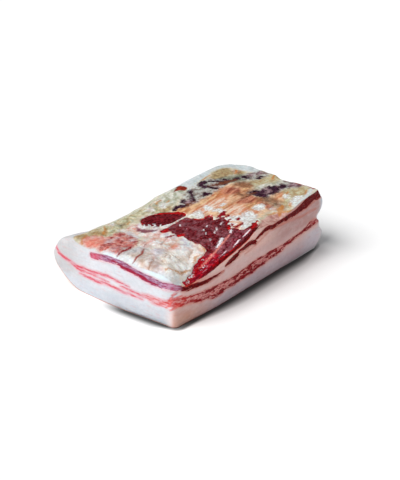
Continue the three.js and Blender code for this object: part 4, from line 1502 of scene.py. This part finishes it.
def add_camera():
    """A camera that looks down on the near corner."""
    level = CAMERA_DISTANCE * math.cos(CAMERA_ELEVATION)
    stand = (
        (CAMERA_TARGET[0] - MIDDLE[0]) * MILLIMETRE - level * math.sin(CAMERA_AZIMUTH),
        (CAMERA_TARGET[1] - MIDDLE[1]) * MILLIMETRE - level * math.cos(CAMERA_AZIMUTH),
        CAMERA_DISTANCE * math.sin(CAMERA_ELEVATION),
    )
    bpy.ops.object.camera_add(location=stand, rotation=(math.pi / 2 - CAMERA_ELEVATION, 0, -CAMERA_AZIMUTH))
    camera = bpy.context.object
    camera.data.sensor_fit = "VERTICAL"
    camera.data.sensor_height = SENSOR_HEIGHT
    camera.data.lens = CAMERA_LENS
    camera.data.clip_start = 0.01
    bpy.context.scene.camera = camera


def add_lamp(name, height, towards, energy, width):
    """A lamp far away, shining towards (x, y). Its height over the floor and its width are in degrees."""
    turn = math.atan2(-towards[0], towards[1])
    bpy.ops.object.light_add(type="SUN", rotation=(math.pi / 2 - math.radians(height), 0, turn))
    lamp = bpy.context.object
    lamp.name = name
    lamp.data.energy = energy
    lamp.data.angle = math.radians(width)


def add_light():
    """Even white surroundings, a broad lamp from the left and a low fill on the long cut."""
    world = bpy.data.worlds.new("soft white room")
    world.use_nodes = True
    room = world.node_tree.nodes["Background"]
    room.inputs["Color"].default_value = (0.98, 0.99, 1, 1)
    room.inputs["Strength"].default_value = 0.18
    bpy.context.scene.world = world
    add_lamp("broad lamp", height=50, towards=(0.9, -0.44), energy=3.6, width=46)
    add_lamp("low fill", height=11, towards=(0, 1), energy=0.75, width=60)
    bpy.context.scene.view_settings.view_transform = "Standard"


def painted_contact_shadow(nodes):
    """Painted shadow: how dark the floor's colour is made right beside the slab, where no light gets under
    its edges.
    """
    spot = nodes.position()
    x = nodes.plus(nodes.part_of(spot, "X"), MIDDLE[0])
    y = nodes.plus(nodes.part_of(spot, "Y"), MIDDLE[1])
    out_x = nodes.most(nodes.minus(nodes.step(y, 0, 70, -1.5, -4.5), x), nodes.minus(x, 232))
    out_y = nodes.most(nodes.minus(-2.5, y), nodes.minus(y, 150))
    squares = [nodes.squared(nodes.plus(value, SHADE_CORNER)) for value in (out_x, out_y)]
    out = nodes.minus(nodes.maths("SQRT", nodes.plus(*squares)), SHADE_CORNER)

    def fading(width, end):
        return nodes.step(nodes.maths("DIVIDE", out, width), 0.2, end, 1, 0)

    width = nodes.times(nodes.step(x, 0, 90, 1.9, 8.4), nodes.step(x, 180, 232, 1.1, 0.26))
    wide = nodes.times(nodes.step(out, 2, 30, 0.4, 0), nodes.step(x, 15, 110))
    in_front = (nodes.step(y, 60, 10), nodes.step(x, -4, 24, 0.75, 0.95), nodes.step(x, 240, 214))
    by_long_cut = nodes.times(nodes.most(fading(width, 2.2), wide), *in_front)
    width = nodes.step(y, -3, 26, 1.6, 5)
    at_left = (nodes.step(y, 97, 56), nodes.step(y, -3, 12, 0.6, 0.95), nodes.step(x, 20, 0))
    return nodes.most(by_long_cut, nodes.times(fading(width, 2.6), *at_left))


def add_floor():
    """A wide white floor, with a painted contact shadow beside the slab."""
    bpy.ops.object.select_all(action="DESELECT")
    bpy.ops.mesh.primitive_grid_add(x_subdivisions=8, y_subdivisions=8, size=80)
    floor = bpy.context.object
    floor.name = "floor"
    material = bpy.data.materials.new("white floor")
    material.use_nodes = True
    shader = material.node_tree.nodes["Principled BSDF"]
    nodes = Nodes(material.node_tree)
    # The floor's paint turns dark beside the slab: a painted contact shadow
    nodes.feed(shader.inputs["Base Color"], nodes.mix(painted_contact_shadow(nodes), FLOOR_WHITE, FLOOR_PAINTED_SHADOW))
    shader.inputs["Roughness"].default_value = 0.9
    shader.inputs["Specular IOR Level"].default_value = 0.1
    floor.data.materials.append(material)


# ---------------------------------------------------------------- The slab

add_camera()
add_light()
add_floor()

CUT_FACE = make_cut_face()
RIND = make_rind()
INNER_SIDE = make_inner_side()
RAW_MUSCLE = make_raw_muscle()


def lay(piece, node):
    """Makes a piece ride with the slab, in place of its solid."""
    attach(piece, "root")
    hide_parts(node)


def line_with_rind(block):
    """Gives a block's underside the rind."""
    block.data.materials.append(RIND)
    block.active_material_index = 1
    bpy.ops.object.mode_set(mode="EDIT")
    pick(block, "FACE", lambda face: face.calc_center_median().z < NEAR_NOTHING)
    bpy.ops.object.material_slot_assign()
    bpy.ops.object.mode_set(mode="OBJECT")


# The layers from the skin up: node, slot and rows of cells over the thickness
LAYERS = [
    ("back_fat", "back_fat", 7),
    ("lower_lean", "streaked_lean", 3),
    ("middle_fat", "fat", 7),
    ("upper_lean", "lean", 2),
    ("inner_fat", "inner_fat", 3),
]
for number, (node, slot, rows) in enumerate(LAYERS):
    top = node == "inner_fat"
    block = unit_block(node + "_layer", rows, fine_roof=top)
    block.data.materials.append(INNER_SIDE if top else CUT_FACE)
    if node == "back_fat":
        line_with_rind(block)
    lay(shape_layer(block, number, top), node)
for node, outline in MUSCLES.items():
    lay(make_sheet(node + "_sheet", outline, RAW_MUSCLE), node)
